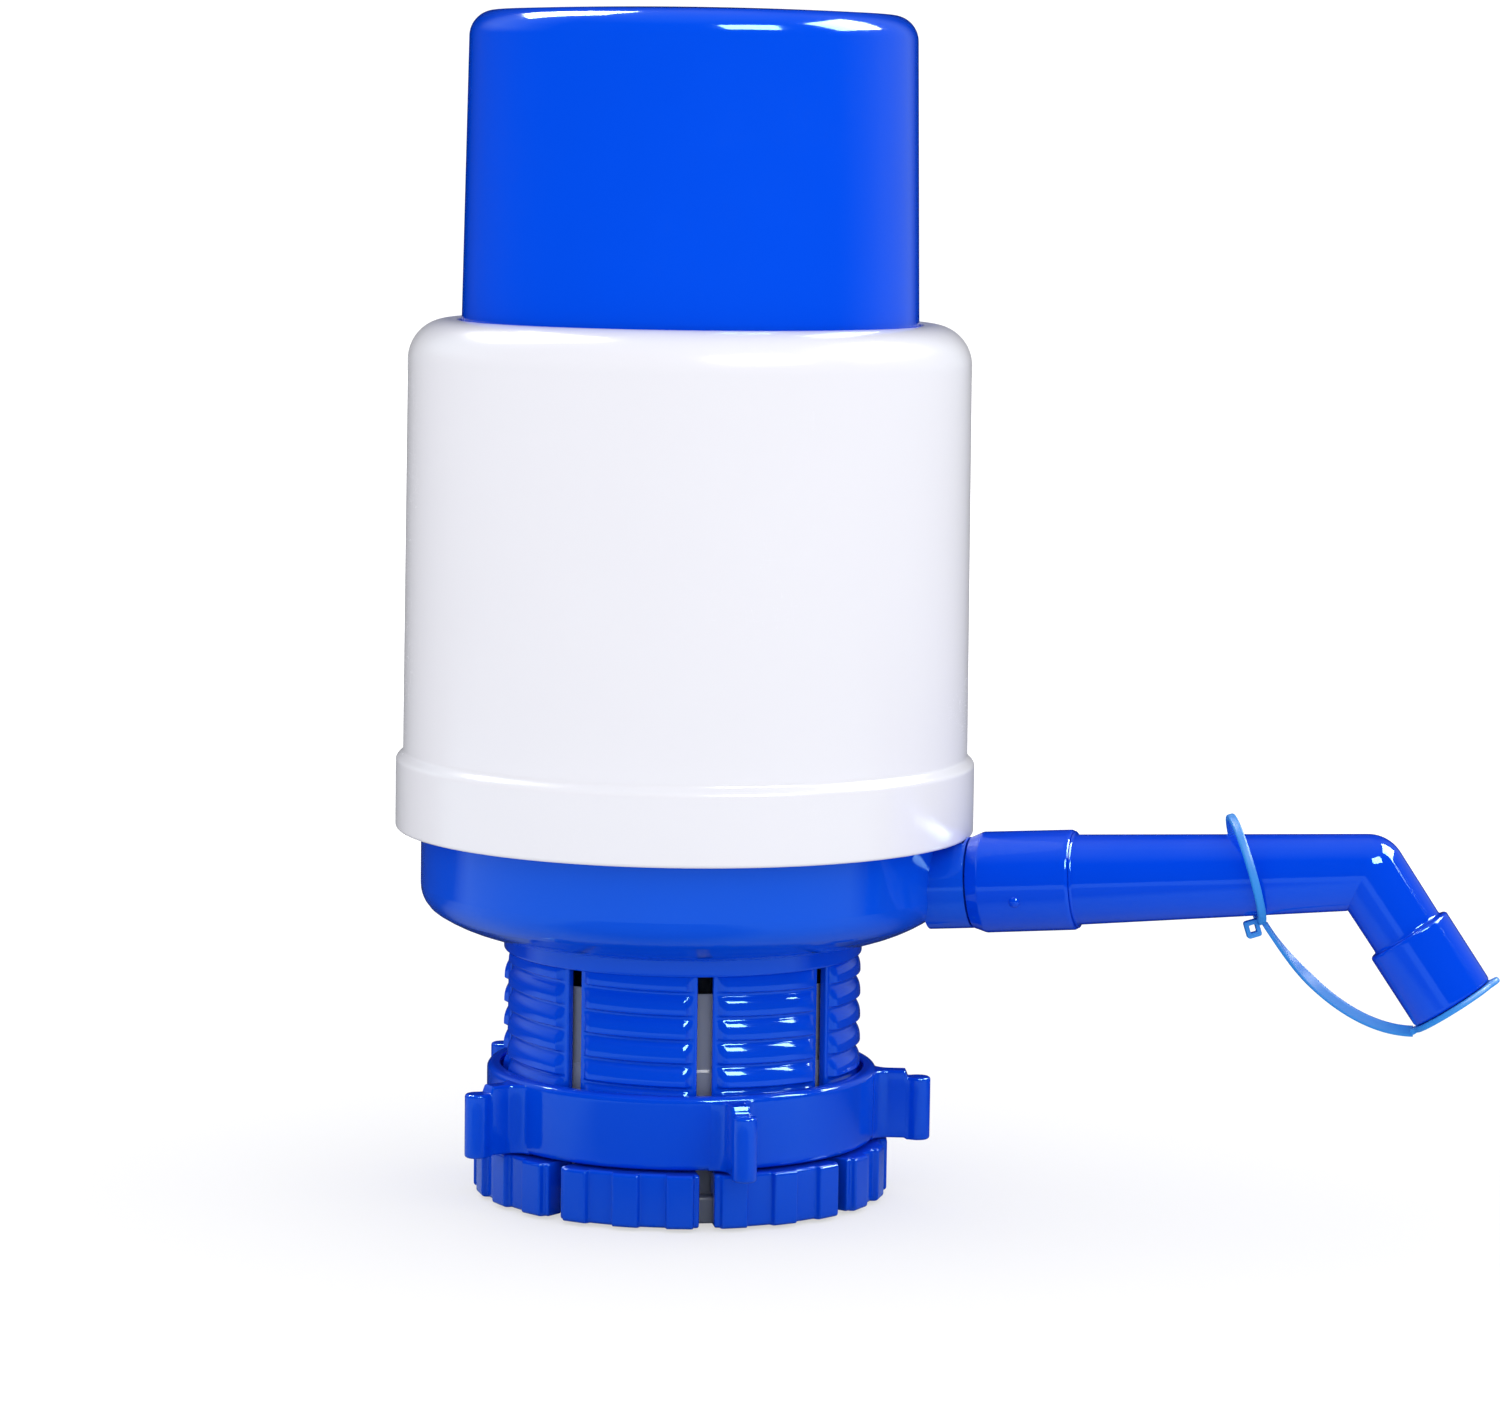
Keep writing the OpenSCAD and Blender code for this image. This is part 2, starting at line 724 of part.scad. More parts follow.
module strap_ring() {
    color(strap_blue) on_spout(loop_u) translate([-loop_rise, 0, 0]) rotate([-loop_yaw, -loop_lean, 0]) {
        translate([0, 0, -loop_w / 2]) tube(loop_r + loop_t, loop_r, loop_w);
        // eye beside the ring's lowest point
        translate([loop_low - loop_t / 2, -strap_w / 2, -loop_w / 2 - eye_h]) difference() {
            cube([eye_w, strap_w, eye_h + root]);
            translate([eye_wall, -cut, eye_wall - 0.1])
                cube([eye_w - 2 * eye_wall - 0.1, strap_w + 2 * cut, eye_h - eye_wall - 0.1]);
        }
    }
}

module cap_strap() {
    color(strap_blue) translate([strap_centre[0], 0, strap_centre[1]]) rotate([90, 0, 0])
        rotate_extrude(angle = strap_turn, start = 270 + strap_slope)
            translate([strap_r - strap_t / 2, -strap_w / 2]) square([strap_t, strap_w]);
}

module dust_cap() {
    color(strap_blue) on_nozzle(nozzle_end) {
        translate([0, 0, seat_fit]) difference() {
            union() {
                edged_disc(disc_r, disc_t, 0.3);
                // pull tab
                translate([-disc_r - tab_reach + tab_w / 2, 0, 0]) cylinder(r = tab_w / 2, h = disc_t);
                // anchor of the strap
                translate([0, -strap_w / 2, 0]) cube([disc_r + anchor_reach, strap_w, disc_t]);
                translate([0, 0, -plug_len])
                    cylinder(r1 = plug_r - 0.4, r2 = plug_r, h = 1);
                translate([0, 0, 1 - plug_len]) cylinder(r = plug_r, h = plug_len - 1 + root);
            }
            translate([0, 0, -plug_len - cut])
                cylinder(r = plug_r - 1.2, h = plug_len + cut);
        }
    }
}

// ---------- cover ----------

module cover_shape(inset) {
    shoulder = shoulder_r - inset;
    top_in = inset > 0 ? cover_top_t : 0;
    foot = inset > 0 ? cover_z - cut : cover_z;
    polygon([
        [0, foot],
        [cover_r + cover_draft + band_rise - inset, foot],
        [cover_r + cover_draft + band_rise - inset, cover_z + band_h - band_rise - top_in],
        [cover_r + cover_draft - inset, cover_z + band_h - top_in / 2],
        [cover_r - inset, cover_top - shoulder_r],
        [0, cover_top - shoulder_r]
    ]);
    translate([0, cover_top - shoulder_r - cut])
        square([cover_r - shoulder_r, shoulder_r + cut - top_in]);
    intersection() {
        translate([cover_r - shoulder_r, cover_top - shoulder_r]) circle(shoulder);
        translate([0, cover_top - shoulder_r - cut]) square([cover_r, shoulder_r + cut - top_in]);
    }
}

module outer_cover() {
    color(cover_white) difference() {
        union() {
            difference() {
                rotate_extrude() cover_shape(0);
                rotate_extrude() cover_shape(cover_wall);
            }
            translate([0, 0, ledge_z]) tube(skirt_r + root, bowl_r + seat_fit, ledge_t);
        }
        translate([0, 0, cover_top - 2 * cover_top_t]) cylinder(r = cover_hole_r, h = 3 * cover_top_t);
    }
}

// ---------- press cap ----------

module cap_shape(inset) {
    edge = cap_edge_r - inset;
    edge_z = cap_top - cap_dome - cap_edge_r;
    foot = inset > 0 ? guide_top - flange_t - cut : guide_top - flange_t;
    polygon([
        [0, foot],
        [cap_r - inset, foot],
        [cap_r - inset, cover_top],
        [cap_top_r - inset, edge_z],
        [0, edge_z]
    ]);
    translate([cap_top_r - cap_edge_r, edge_z]) circle(edge);
    intersection() {
        translate([0, cap_top - dome_r]) circle(dome_r - inset, $fn = 720);
        translate([0, edge_z - cut]) square([cap_top_r - cap_edge_r, cap_edge_r + 2 * cap_dome]);
    }
}

module press_cap() {
    rib_top = cap_top - cap_dome - cap_wall;
    socket_in_r = hub_r + seat_fit;
    socket_wall = 2.4;
    color(cap_blue) {
        difference() {
            union() {
                rotate_extrude() cap_shape(0);
                translate([0, 0, guide_top - guide_h]) rotate_extrude()
                    polygon([
                        [0, 0],
                        [guide_r, 0],
                        [guide_r, guide_h - shoulder_r + cover_wall + air],
                        [cover_r - shoulder_r + 1, guide_h],
                        [0, guide_h]
                    ]);
            }
            rotate_extrude() cap_shape(cap_wall);
            translate([0, 0, guide_top - guide_h - cut]) rotate_extrude()
                polygon([
                    [0, 0],
                    [guide_r - guide_wall, 0],
                    [guide_r - guide_wall, guide_h - shoulder_r + cut],
                    [guide_in_r, guide_h - flange_t + cut],
                    [0, guide_h - flange_t + cut]
                ]);
        }
        // socket for the crown's hub, and the ring that presses on the bellows' top
        difference() {
            union() {
                translate([0, 0, bellows_top + 0.8])
                    tube(socket_in_r + socket_wall, socket_in_r, rib_top - bellows_top);
                translate([0, 0, bellows_top])
                    tube(crown_r, crown_r - hub_wall, rib_top - bellows_top + root);
                around(hub_rib_count, 180 / hub_rib_count)
                    translate([hub_r + hub_rib_inset, -hub_rib_t / 2, bellows_top + 1])
                        cube([crown_r - hub_r - 1.5 * hub_rib_inset, hub_rib_t, rib_top - bellows_top]);
            }
            // slots that let the air in
            around(4) translate([hub_r - 1, -air_slot_w / 2, bellows_top - cut])
                cube([crown_r, air_slot_w, air_slot_h + cut]);
        }
    }
}

// ---------- bellows, spring and valves ----------

fold_pitch = (bellows_top - bellows_flange_t - clamp_z) / fold_count;
function fold_line(offset) = [
    for (i = [0 : 2 * fold_count])
        [
            (i % 2 == 0 ? bellows_in_r : bellows_r - bellows_wall) + offset,
            clamp_z + i * fold_pitch / 2
        ]
];
function reversed(list) = [for (i = [len(list) - 1 : -1 : 0]) list[i]];

module bellows() {
    color(milky) rotate_extrude()
        polygon(concat(
            [
                [bellows_in_r, foot_z],
                [stack_r, foot_z],
                [stack_r, clamp_z],
                [bellows_in_r + bellows_wall + 0.6, clamp_z]
            ],
            [for (i = [1 : 2 * fold_count - 1]) fold_line(bellows_wall)[i]],
            [
                [bellows_in_r + bellows_wall, bellows_top - bellows_flange_t],
                [bellows_in_r + bellows_wall, bellows_top],
                [bellows_bore, bellows_top],
                [bellows_bore, bellows_top - bellows_flange_t]
            ],
            reversed(fold_line(0))
        ));
}

module return_spring() {
    end_pitch = 2 * wire_r + 0.5;
    mid_pitch = (spring_h - 2 * air - 2 * wire_r - 2 * end_pitch) / (spring_turns - 2);
    function climb(t) = t < 1 ? t * end_pitch
        : t < spring_turns - 1 ? end_pitch + (t - 1) * mid_pitch
        : end_pitch + (spring_turns - 2) * mid_pitch + (t - spring_turns + 1) * end_pitch;
    function centre(i) = [
        spring_r * cos(i * 360 / spiral_steps),
        spring_r * sin(i * 360 / spiral_steps),
        foot_z + air + wire_r + climb(i / spiral_steps)
    ];
    rings = spring_turns * spiral_steps;
    points = [
        for (i = [0 : rings]) for (j = [0 : spiral_sides - 1])
            let (a = i * 360 / spiral_steps, b = j * 360 / spiral_sides)
            centre(i) + wire_r * [cos(b) * cos(a), cos(b) * sin(a), sin(b)]
    ];
    sides = [
        for (i = [0 : rings - 1]) for (j = [0 : spiral_sides - 1])
            let (
                a = i * spiral_sides + j,
                b = i * spiral_sides + (j + 1) % spiral_sides,
                c = b + spiral_sides,
                d = a + spiral_sides
            )
            each [[a, b, c], [a, c, d]]
    ];
    last = rings * spiral_sides;
    ends = [
        for (j = [1 : spiral_sides - 2])
            each [[0, j + 1, j], [last, last + j, last + j + 1]]
    ];
    echo(spring_least_gap = min([
        for (i = [0 : rings - spiral_steps]) norm(centre(i + spiral_steps) - centre(i))
    ]) - 2 * wire_r);
    color(steel) polyhedron(points, concat(sides, ends), convexity = 8);
}

module bellows_clamp() {
    color(milky) translate([0, 0, clamp_z]) tube(stack_r, clamp_in_r, clamp_h);
}

// A plate's valve seat: a hole for the stem and a ring of vents
module valve_holes(h) {
    translate([0, 0, -cut]) cylinder(r = stem_r + seat_fit, h = h + 2 * cut);
    around(vent_count) translate([vent_ring_r, 0, -cut]) cylinder(r = vent_r, h = h + 2 * cut);
}

// Mushroom valve that lies under its plate, with its stem and knob above
module mushroom_valve(plate_t) {
    rotate_extrude() polygon([
        [0, plate_t + 2.4],
        [stem_r - 0.5, plate_t + 2.4],
        [stem_r + 0.5, plate_t + 1],
        [stem_r + 0.5, plate_t + 0.2],
        [stem_r, plate_t + 0.2],
        [stem_r, 0],
        [valve_r, 0],
        [valve_r, -valve_t / 3],
        [stem_r + 1, -valve_t - 0.5],
        [0, -valve_t - 0.5]
    ]);
}

module spring_rib(h) {
    outer = spring_r - wire_r - spring_rib_gap;
    tube(outer, outer - 1.5, h);
}

module bellows_seat() {
    color(milky) translate([0, 0, seat_z]) difference() {
        union() {
            cylinder(r = stack_r, h = seat_t);
            translate([0, 0, seat_t - root]) spring_rib(spring_rib_h + root);
        }
        valve_holes(seat_t);
    }
}

module outlet_valve() {
    color(seal_grey) translate([0, 0, seat_z]) mushroom_valve(seat_t);
}

module seat_gasket() {
    color(seal_grey) translate([0, 0, gasket_z])
        tube(stack_r, rim_in_r - seat_ledge_w + 0.2, seat_gasket_t);
}

module bellows_crown() {
    color(milky) translate([0, 0, crown_z]) difference() {
        union() {
            cylinder(r = crown_r, h = crown_t);
            translate([0, 0, crown_t - root])
                cylinder(r = bellows_bore - 0.2, h = bellows_flange_t + root);
            tube(hub_r, hub_r - hub_wall, hub_top - crown_z);
            translate([0, 0, -spring_rib_h]) spring_rib(spring_rib_h + root);
        }
        valve_holes(crown_t + bellows_flange_t);
        translate([0, 0, crown_t]) cylinder(r = hub_r - hub_wall, h = bellows_flange_t + cut);
        around(4) translate([0, -air_slot_w / 2, crown_t + bellows_flange_t])
            cube([hub_r + cut, air_slot_w, air_slot_h]);
    }
}

module inlet_valve() {
    color(seal_grey) translate([0, 0, crown_z]) mushroom_valve(crown_t);
}

press_cap();
bellows_crown();
inlet_valve();
bellows();
return_spring();
bellows_clamp();
bellows_seat();
outlet_valve();
seat_gasket();
outer_cover();
base_bowl();
neck_gasket();
tube_connector();
connector_seal();
neck_collar();
neck_liner();
lock_ring();
spout_seal();
spout();
strap_ring();
cap_strap();
dust_cap();
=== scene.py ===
"""Looks of a hand pump for large water bottles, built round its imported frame.

Sizes in the classes are millimetres and degrees in the frame's own axes: Z = 0 is the lower
end of the neck collar, and the spout points along +X. Meshes are made in metres.
"""

from __future__ import annotations

import json
import logging
import math
from dataclasses import dataclass, field
from enum import Enum

import bmesh
import bpy
import numpy as np
from mathutils import Matrix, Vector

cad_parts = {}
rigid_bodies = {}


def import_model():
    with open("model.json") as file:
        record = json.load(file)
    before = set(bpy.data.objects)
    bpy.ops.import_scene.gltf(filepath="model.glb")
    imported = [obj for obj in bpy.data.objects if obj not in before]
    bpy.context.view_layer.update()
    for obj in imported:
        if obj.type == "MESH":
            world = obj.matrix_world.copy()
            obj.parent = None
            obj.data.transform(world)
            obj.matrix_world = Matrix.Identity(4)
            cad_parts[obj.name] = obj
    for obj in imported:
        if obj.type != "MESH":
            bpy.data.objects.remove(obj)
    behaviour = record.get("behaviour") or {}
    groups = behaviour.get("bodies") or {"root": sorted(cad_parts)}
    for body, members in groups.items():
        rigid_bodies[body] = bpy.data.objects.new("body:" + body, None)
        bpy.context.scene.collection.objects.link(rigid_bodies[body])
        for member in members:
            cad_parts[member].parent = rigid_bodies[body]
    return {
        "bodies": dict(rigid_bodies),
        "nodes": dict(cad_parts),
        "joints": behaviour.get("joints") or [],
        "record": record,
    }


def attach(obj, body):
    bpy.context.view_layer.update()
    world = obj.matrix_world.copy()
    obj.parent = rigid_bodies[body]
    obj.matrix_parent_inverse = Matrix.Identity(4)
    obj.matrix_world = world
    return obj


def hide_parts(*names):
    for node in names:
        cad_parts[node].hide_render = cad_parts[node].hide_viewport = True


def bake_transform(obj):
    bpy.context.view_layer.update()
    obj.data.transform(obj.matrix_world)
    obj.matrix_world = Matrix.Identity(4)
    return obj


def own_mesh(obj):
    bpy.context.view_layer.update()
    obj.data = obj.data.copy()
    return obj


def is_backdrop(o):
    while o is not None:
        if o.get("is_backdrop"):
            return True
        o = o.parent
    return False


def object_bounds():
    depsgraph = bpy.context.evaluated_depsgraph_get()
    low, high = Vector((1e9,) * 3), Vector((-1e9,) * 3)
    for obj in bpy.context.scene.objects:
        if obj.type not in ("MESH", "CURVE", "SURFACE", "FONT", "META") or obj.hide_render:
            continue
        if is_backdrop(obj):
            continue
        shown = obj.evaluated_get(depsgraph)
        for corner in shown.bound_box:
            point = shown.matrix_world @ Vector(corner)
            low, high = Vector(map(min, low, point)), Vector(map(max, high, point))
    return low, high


LOG = logging.getLogger("pump")
Array = np.ndarray
Socket = bpy.types.NodeSocket
Pair = tuple[float, float]
Triple = tuple[float, float, float]  # a colour, a place or a direction
Four = tuple[float, float, float, float]
Fit = Four  # a value's low and high end, and what each becomes

MM = 0.001
TURN = 2.0 * math.pi
QUARTER = math.pi / 2.0
SIDEWAYS = np.array([0.0, 1.0, 0.0])
UP = np.array([0.0, 0.0, 1.0])
WHITE = (1.0, 1.0, 1.0, 1.0)
MIRRORED = (0.7, 0.9, 1.0, 1.0)  # the cool tint of what glossy surfaces mirror
BLUNT = math.radians(89.5)  # half a corner's angle, past which it isn't rounded


class Body(Enum):
    """Bodies of the frame that pieces ride on."""

    BASE = "base"
    PLUNGER = "plunger"
    LOCK_RING = "lock_ring"
    SPOUT = "spout"
    DUST_CAP = "dust_cap"


class Slot(Enum):
    """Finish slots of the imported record."""

    CAP = "cap_blue"
    BOWL = "bowl_blue"
    COLLAR = "collar_blue"
    SPOUT = "spout_blue"
    STRAP = "strap_blue"
    COVER = "cover_white"
    CLEAR = "clear_plastic"
    SEAL = "seal_rubber"
    STEEL = "spring_steel"


# ---------- outlines and surfaces ----------


def ramp(x: Array, low: float, high: float) -> Array:
    """Smooth rise 3t^2 - 2t^3 of t, where t goes from 0 at low to 1 at high."""
    t = np.clip((x - low) / (high - low), 0.0, 1.0)
    return t * t * (3.0 - 2.0 * t)


def box(left: float, right: float, low: float, high: float) -> list[Pair]:
    """The corners of an upright rectangle, from its lower left one round to its upper left one."""
    return [(left, low), (right, low), (right, high), (left, high)]


def rounded(corners: list[Pair], radii: list[float] | float, arc: int = 6) -> Array:
    """Rounds the corners of a closed outline.

    Each corner becomes an arc that touches both of its sides: the arc's points turn evenly
    about its centre, which lies on the corner's bisector at radius / sin(half angle). One
    more point on each side, a third of the radius away, keeps the flats flat when shaded.

    Args:
        corners: The outline's corners in order.
        radii: The radius at each corner, or one radius for all.
        arc: The number of points on each arc.

    Returns:
        The rounded outline, one row for each point, without repeated points.
    """
    at = np.array(corners, float)
    radius = np.broadcast_to(np.array(radii, float), len(at))[:, None]
    back = np.roll(at, 1, axis=0) - at
    ahead = np.roll(at, -1, axis=0) - at
    back /= np.linalg.norm(back, axis=1, keepdims=True)
    ahead /= np.linalg.norm(ahead, axis=1, keepdims=True)
    half = 0.5 * np.arccos(np.clip((back * ahead).sum(1, keepdims=True), -1.0, 1.0))
    flat = half > BLUNT
    reach = np.where(flat, 0.0, radius / np.tan(half))
    middle = back + ahead
    middle /= np.maximum(np.linalg.norm(middle, axis=1, keepdims=True), 1e-9)
    centre = at + np.where(flat, 0.0, middle * radius / np.sin(half))
    first, last = at + back * reach - centre, at + ahead * reach - centre
    turn = np.where(flat, 1.0, math.pi - 2.0 * half)[:, None]
    t = np.linspace(0.0, 1.0, arc)[None, :, None]
    bend = centre[:, None] + (
        np.sin((1.0 - t) * turn) * first[:, None] + np.sin(t * turn) * last[:, None]
    ) / np.sin(turn)
    spare = np.where(flat, 0.0, radius / 3.0)
    before = (at + back * (reach + spare))[:, None]
    after = (at + ahead * (reach + spare))[:, None]
    return distinct(np.concatenate([before, bend, after], axis=1).reshape(-1, 2))


def distinct(outline: Array, least: float = 1e-4) -> Array:
    """The outline without points that repeat the one before."""
    step = np.linalg.norm(outline - np.roll(outline, 1, axis=0), axis=1)
    return outline[step > least]


def arc_points(centre: Pair, radius: float, start: float, end: float, count: int) -> Array:
    """Points of a circle: centre + radius x (cos a, sin a), a from start to end in degrees."""
    a = np.radians(np.linspace(start, end, count))
    return np.array(centre) + radius * np.stack([np.cos(a), np.sin(a)], axis=1)


def densified(outline: Array, step: float) -> Array:
    """Adds points to a closed outline, so that none is much further than step from the next.

    Every point keeps its place. The new ones divide the distance along the outline evenly,
    less those that fall within a third of a step of a point that is there.

    Args:
        outline: The closed outline, one row for each point.
        step: The distance between new points.

    Returns:
        The outline with more points.
    """
    closed = np.concatenate([outline, outline[:1]])
    run = np.concatenate([[0.0], np.cumsum(np.linalg.norm(np.diff(closed, axis=0), axis=1))])
    extra = np.linspace(0.0, run[-1], max(2, int(run[-1] / step)), endpoint=False)
    near = np.abs(extra[:, None] - run[None, :]).min(axis=1)
    at = np.sort(np.concatenate([run[:-1], extra[near > 0.3 * step]]))
    return np.stack([np.interp(at, run, closed[:, 0]), np.interp(at, run, closed[:, 1])], axis=1)


def inset(outline: Array, depth: float) -> Array:
    """Moves a closed outline inwards along its normals, its tangents turned by 90 degrees.

    Args:
        outline: The closed outline, one row for each point.
        depth: How far each point moves.

    Returns:
        The smaller outline, point for point.
    """
    tangent = np.roll(outline, -1, axis=0) - np.roll(outline, 1, axis=0)
    tangent /= np.maximum(np.linalg.norm(tangent, axis=1, keepdims=True), 1e-9)
    x, y = outline.T
    area = 0.5 * np.sum(x * np.roll(y, -1) - y * np.roll(x, -1))
    normal = np.stack([-tangent[:, 1], tangent[:, 0]], axis=1) * np.sign(area)
    return outline + depth * normal


def polar(radius: Array, angle: Array, height: Array) -> Array:
    """Points from radius, angle in radians and height: (r cos a, r sin a, z)."""
    r, a, z = np.broadcast_arrays(radius, angle, height)
    return np.stack([r * np.cos(a), r * np.sin(a), z], axis=-1)


def lathed(outline: Array, steps: int = 192) -> Array:
    """An outline of (radius, height) turned about Z: x = radius cos a, y = radius sin a."""
    a = np.linspace(0.0, TURN, steps, endpoint=False)
    return polar(outline[None, :, 0], a[:, None], outline[None, :, 1])


def swept(centre: Array, across: Array, up: Array, section: Array) -> Array:
    """Carries a section along a line: each point is centre + u x across + v x up.

    Args:
        centre: The line's points, one row each.
        across: The first direction at each of them.
        up: The second direction at each of them.
        section: Rows of (u, v).

    Returns:
        A grid of points, line by section.
    """
    return (
        centre[:, None]
        + section[None, :, :1] * across[:, None]
        + section[None, :, 1:2] * up[:, None]
    )


def turned_z(points: Array, degrees: float) -> Array:
    """Turns points about the Z axis: x cos a - y sin a, x sin a + y cos a.

    Args:
        points: The points, in an array of any shape whose last axis is x, y, z.
        degrees: The angle a.

    Returns:
        The turned points.
    """
    a = math.radians(degrees)
    c, s = math.cos(a), math.sin(a)
    return points @ np.array([[c, s, 0.0], [-s, c, 0.0], [0.0, 0.0, 1.0]])


class Skin:
    """Closed skins of one piece, gathered from grids and flat caps in millimetres."""

    merge: float = 2e-6  # metres within which two points are one

    def __init__(self) -> None:
        """Starts with no points."""
        self.points: list[Array] = []
        self.faces: list[list[int]] = []
        self.count = 0

    def _add(self, points: Array) -> int:
        """Adds points.

        Args:
            points: Points in an array of any shape whose last axis is x, y, z.

        Returns:
            The number of the first.
        """
        first = self.count
        self.points.append(points.reshape(-1, 3))
        self.count += len(self.points[-1])
        return first

    def grid(self, points: Array, wrap_rows: bool = False, wrap_cols: bool = False) -> Skin:
        """Adds a sheet of four-sided faces between neighbouring grid points.

        Args:
            points: Grid of points, rows by columns by 3.
            wrap_rows: Whether the last row joins the first.
            wrap_cols: Whether the last column joins the first.

        Returns:
            This skin.
        """
        rows, cols = points.shape[:2]
        number = self._add(points) + np.arange(rows * cols).reshape(rows, cols)
        below = np.roll(number, -1, axis=0) if wrap_rows else number[1:]
        here = number if wrap_rows else number[:-1]
        right = np.roll(here, -1, axis=1) if wrap_cols else here[:, 1:]
        under = np.roll(below, -1, axis=1) if wrap_cols else below[:, 1:]
        if not wrap_cols:
            here, below = here[:, :-1], below[:, :-1]
        self.faces += np.stack([here, right, under, below], axis=-1).reshape(-1, 4).tolist()
        return self

    def cap(self, loop: Array) -> Skin:
        """Adds one flat face.

        Args:
            loop: Its corners in order.

        Returns:
            This skin.
        """
        first = self._add(loop)
        self.faces.append(list(range(first, first + len(loop))))
        return self

    def tube(self, rows: Array) -> Skin:
        """Adds a closed tube: a grid whose columns wrap, with a flat cap at each end."""
        return self.grid(rows, wrap_cols=True).cap(rows[0]).cap(rows[-1])

    def turned(self, outline: Array, steps: int = 192) -> Skin:
        """Adds a closed outline turned about Z."""
        return self.grid(lathed(outline, steps), wrap_rows=True, wrap_cols=True)

    def placed(self, origin: Array, x: Array, y: Array, z: Array) -> Skin:
        """Moves all points so far from a local frame to the pump's: origin + p x + q y + r z.

        Args:
            origin: The local frame's origin.
            x: Its first axis.
            y: Its second axis.
            z: Its third axis.

        Returns:
            This skin.
        """
        turn = np.stack([x, y, z])
        self.points = [origin + p @ turn for p in self.points]
        return self

    def build(self, name: str, sharp: float = 40.0) -> bpy.types.Object:
        """Turns the gathered skins into an object.

        Doubled points are merged, so seams and poles close, and then the normals are
        recalculated to face outwards. Edges sharper than the given angle stay sharp.

        Args:
            name: Name of the object.
            sharp: Angle in degrees.

        Returns:
            The new object, at the origin.
        """
        mesh = bpy.data.meshes.new(name)
        mesh.from_pydata((np.concatenate(self.points) * MM).tolist(), [], self.faces)
        work = bmesh.new()
        work.from_mesh(mesh)
        bmesh.ops.remove_doubles(work, verts=work.verts, dist=self.merge)
        bmesh.ops.recalc_face_normals(work, faces=work.faces)
        work.to_mesh(mesh)
        work.free()
        mesh.polygons.foreach_set("use_smooth", np.ones(len(mesh.polygons), bool))
        mesh.set_sharp_from_angle(angle=math.radians(sharp))
        mesh.update()
        made = bpy.data.objects.new(name, mesh)
        bpy.context.scene.collection.objects.link(made)
        return made


# ---------- finishes ----------


def linear(colour: Triple) -> Four:
    """Turns a screen colour into light: c / 12.92 where it is dark, else ((c + 0.055) / 1.055)^2.4.

    Args:
        colour: Red, green and blue from 0 to 255.

    Returns:
        The light that a shader wants, with full alpha.
    """
    c = np.array(colour, float) / 255.0
    light = np.where(c <= 0.04045, c / 12.92, ((c + 0.055) / 1.055) ** 2.4)
    return (float(light[0]), float(light[1]), float(light[2]), 1.0)


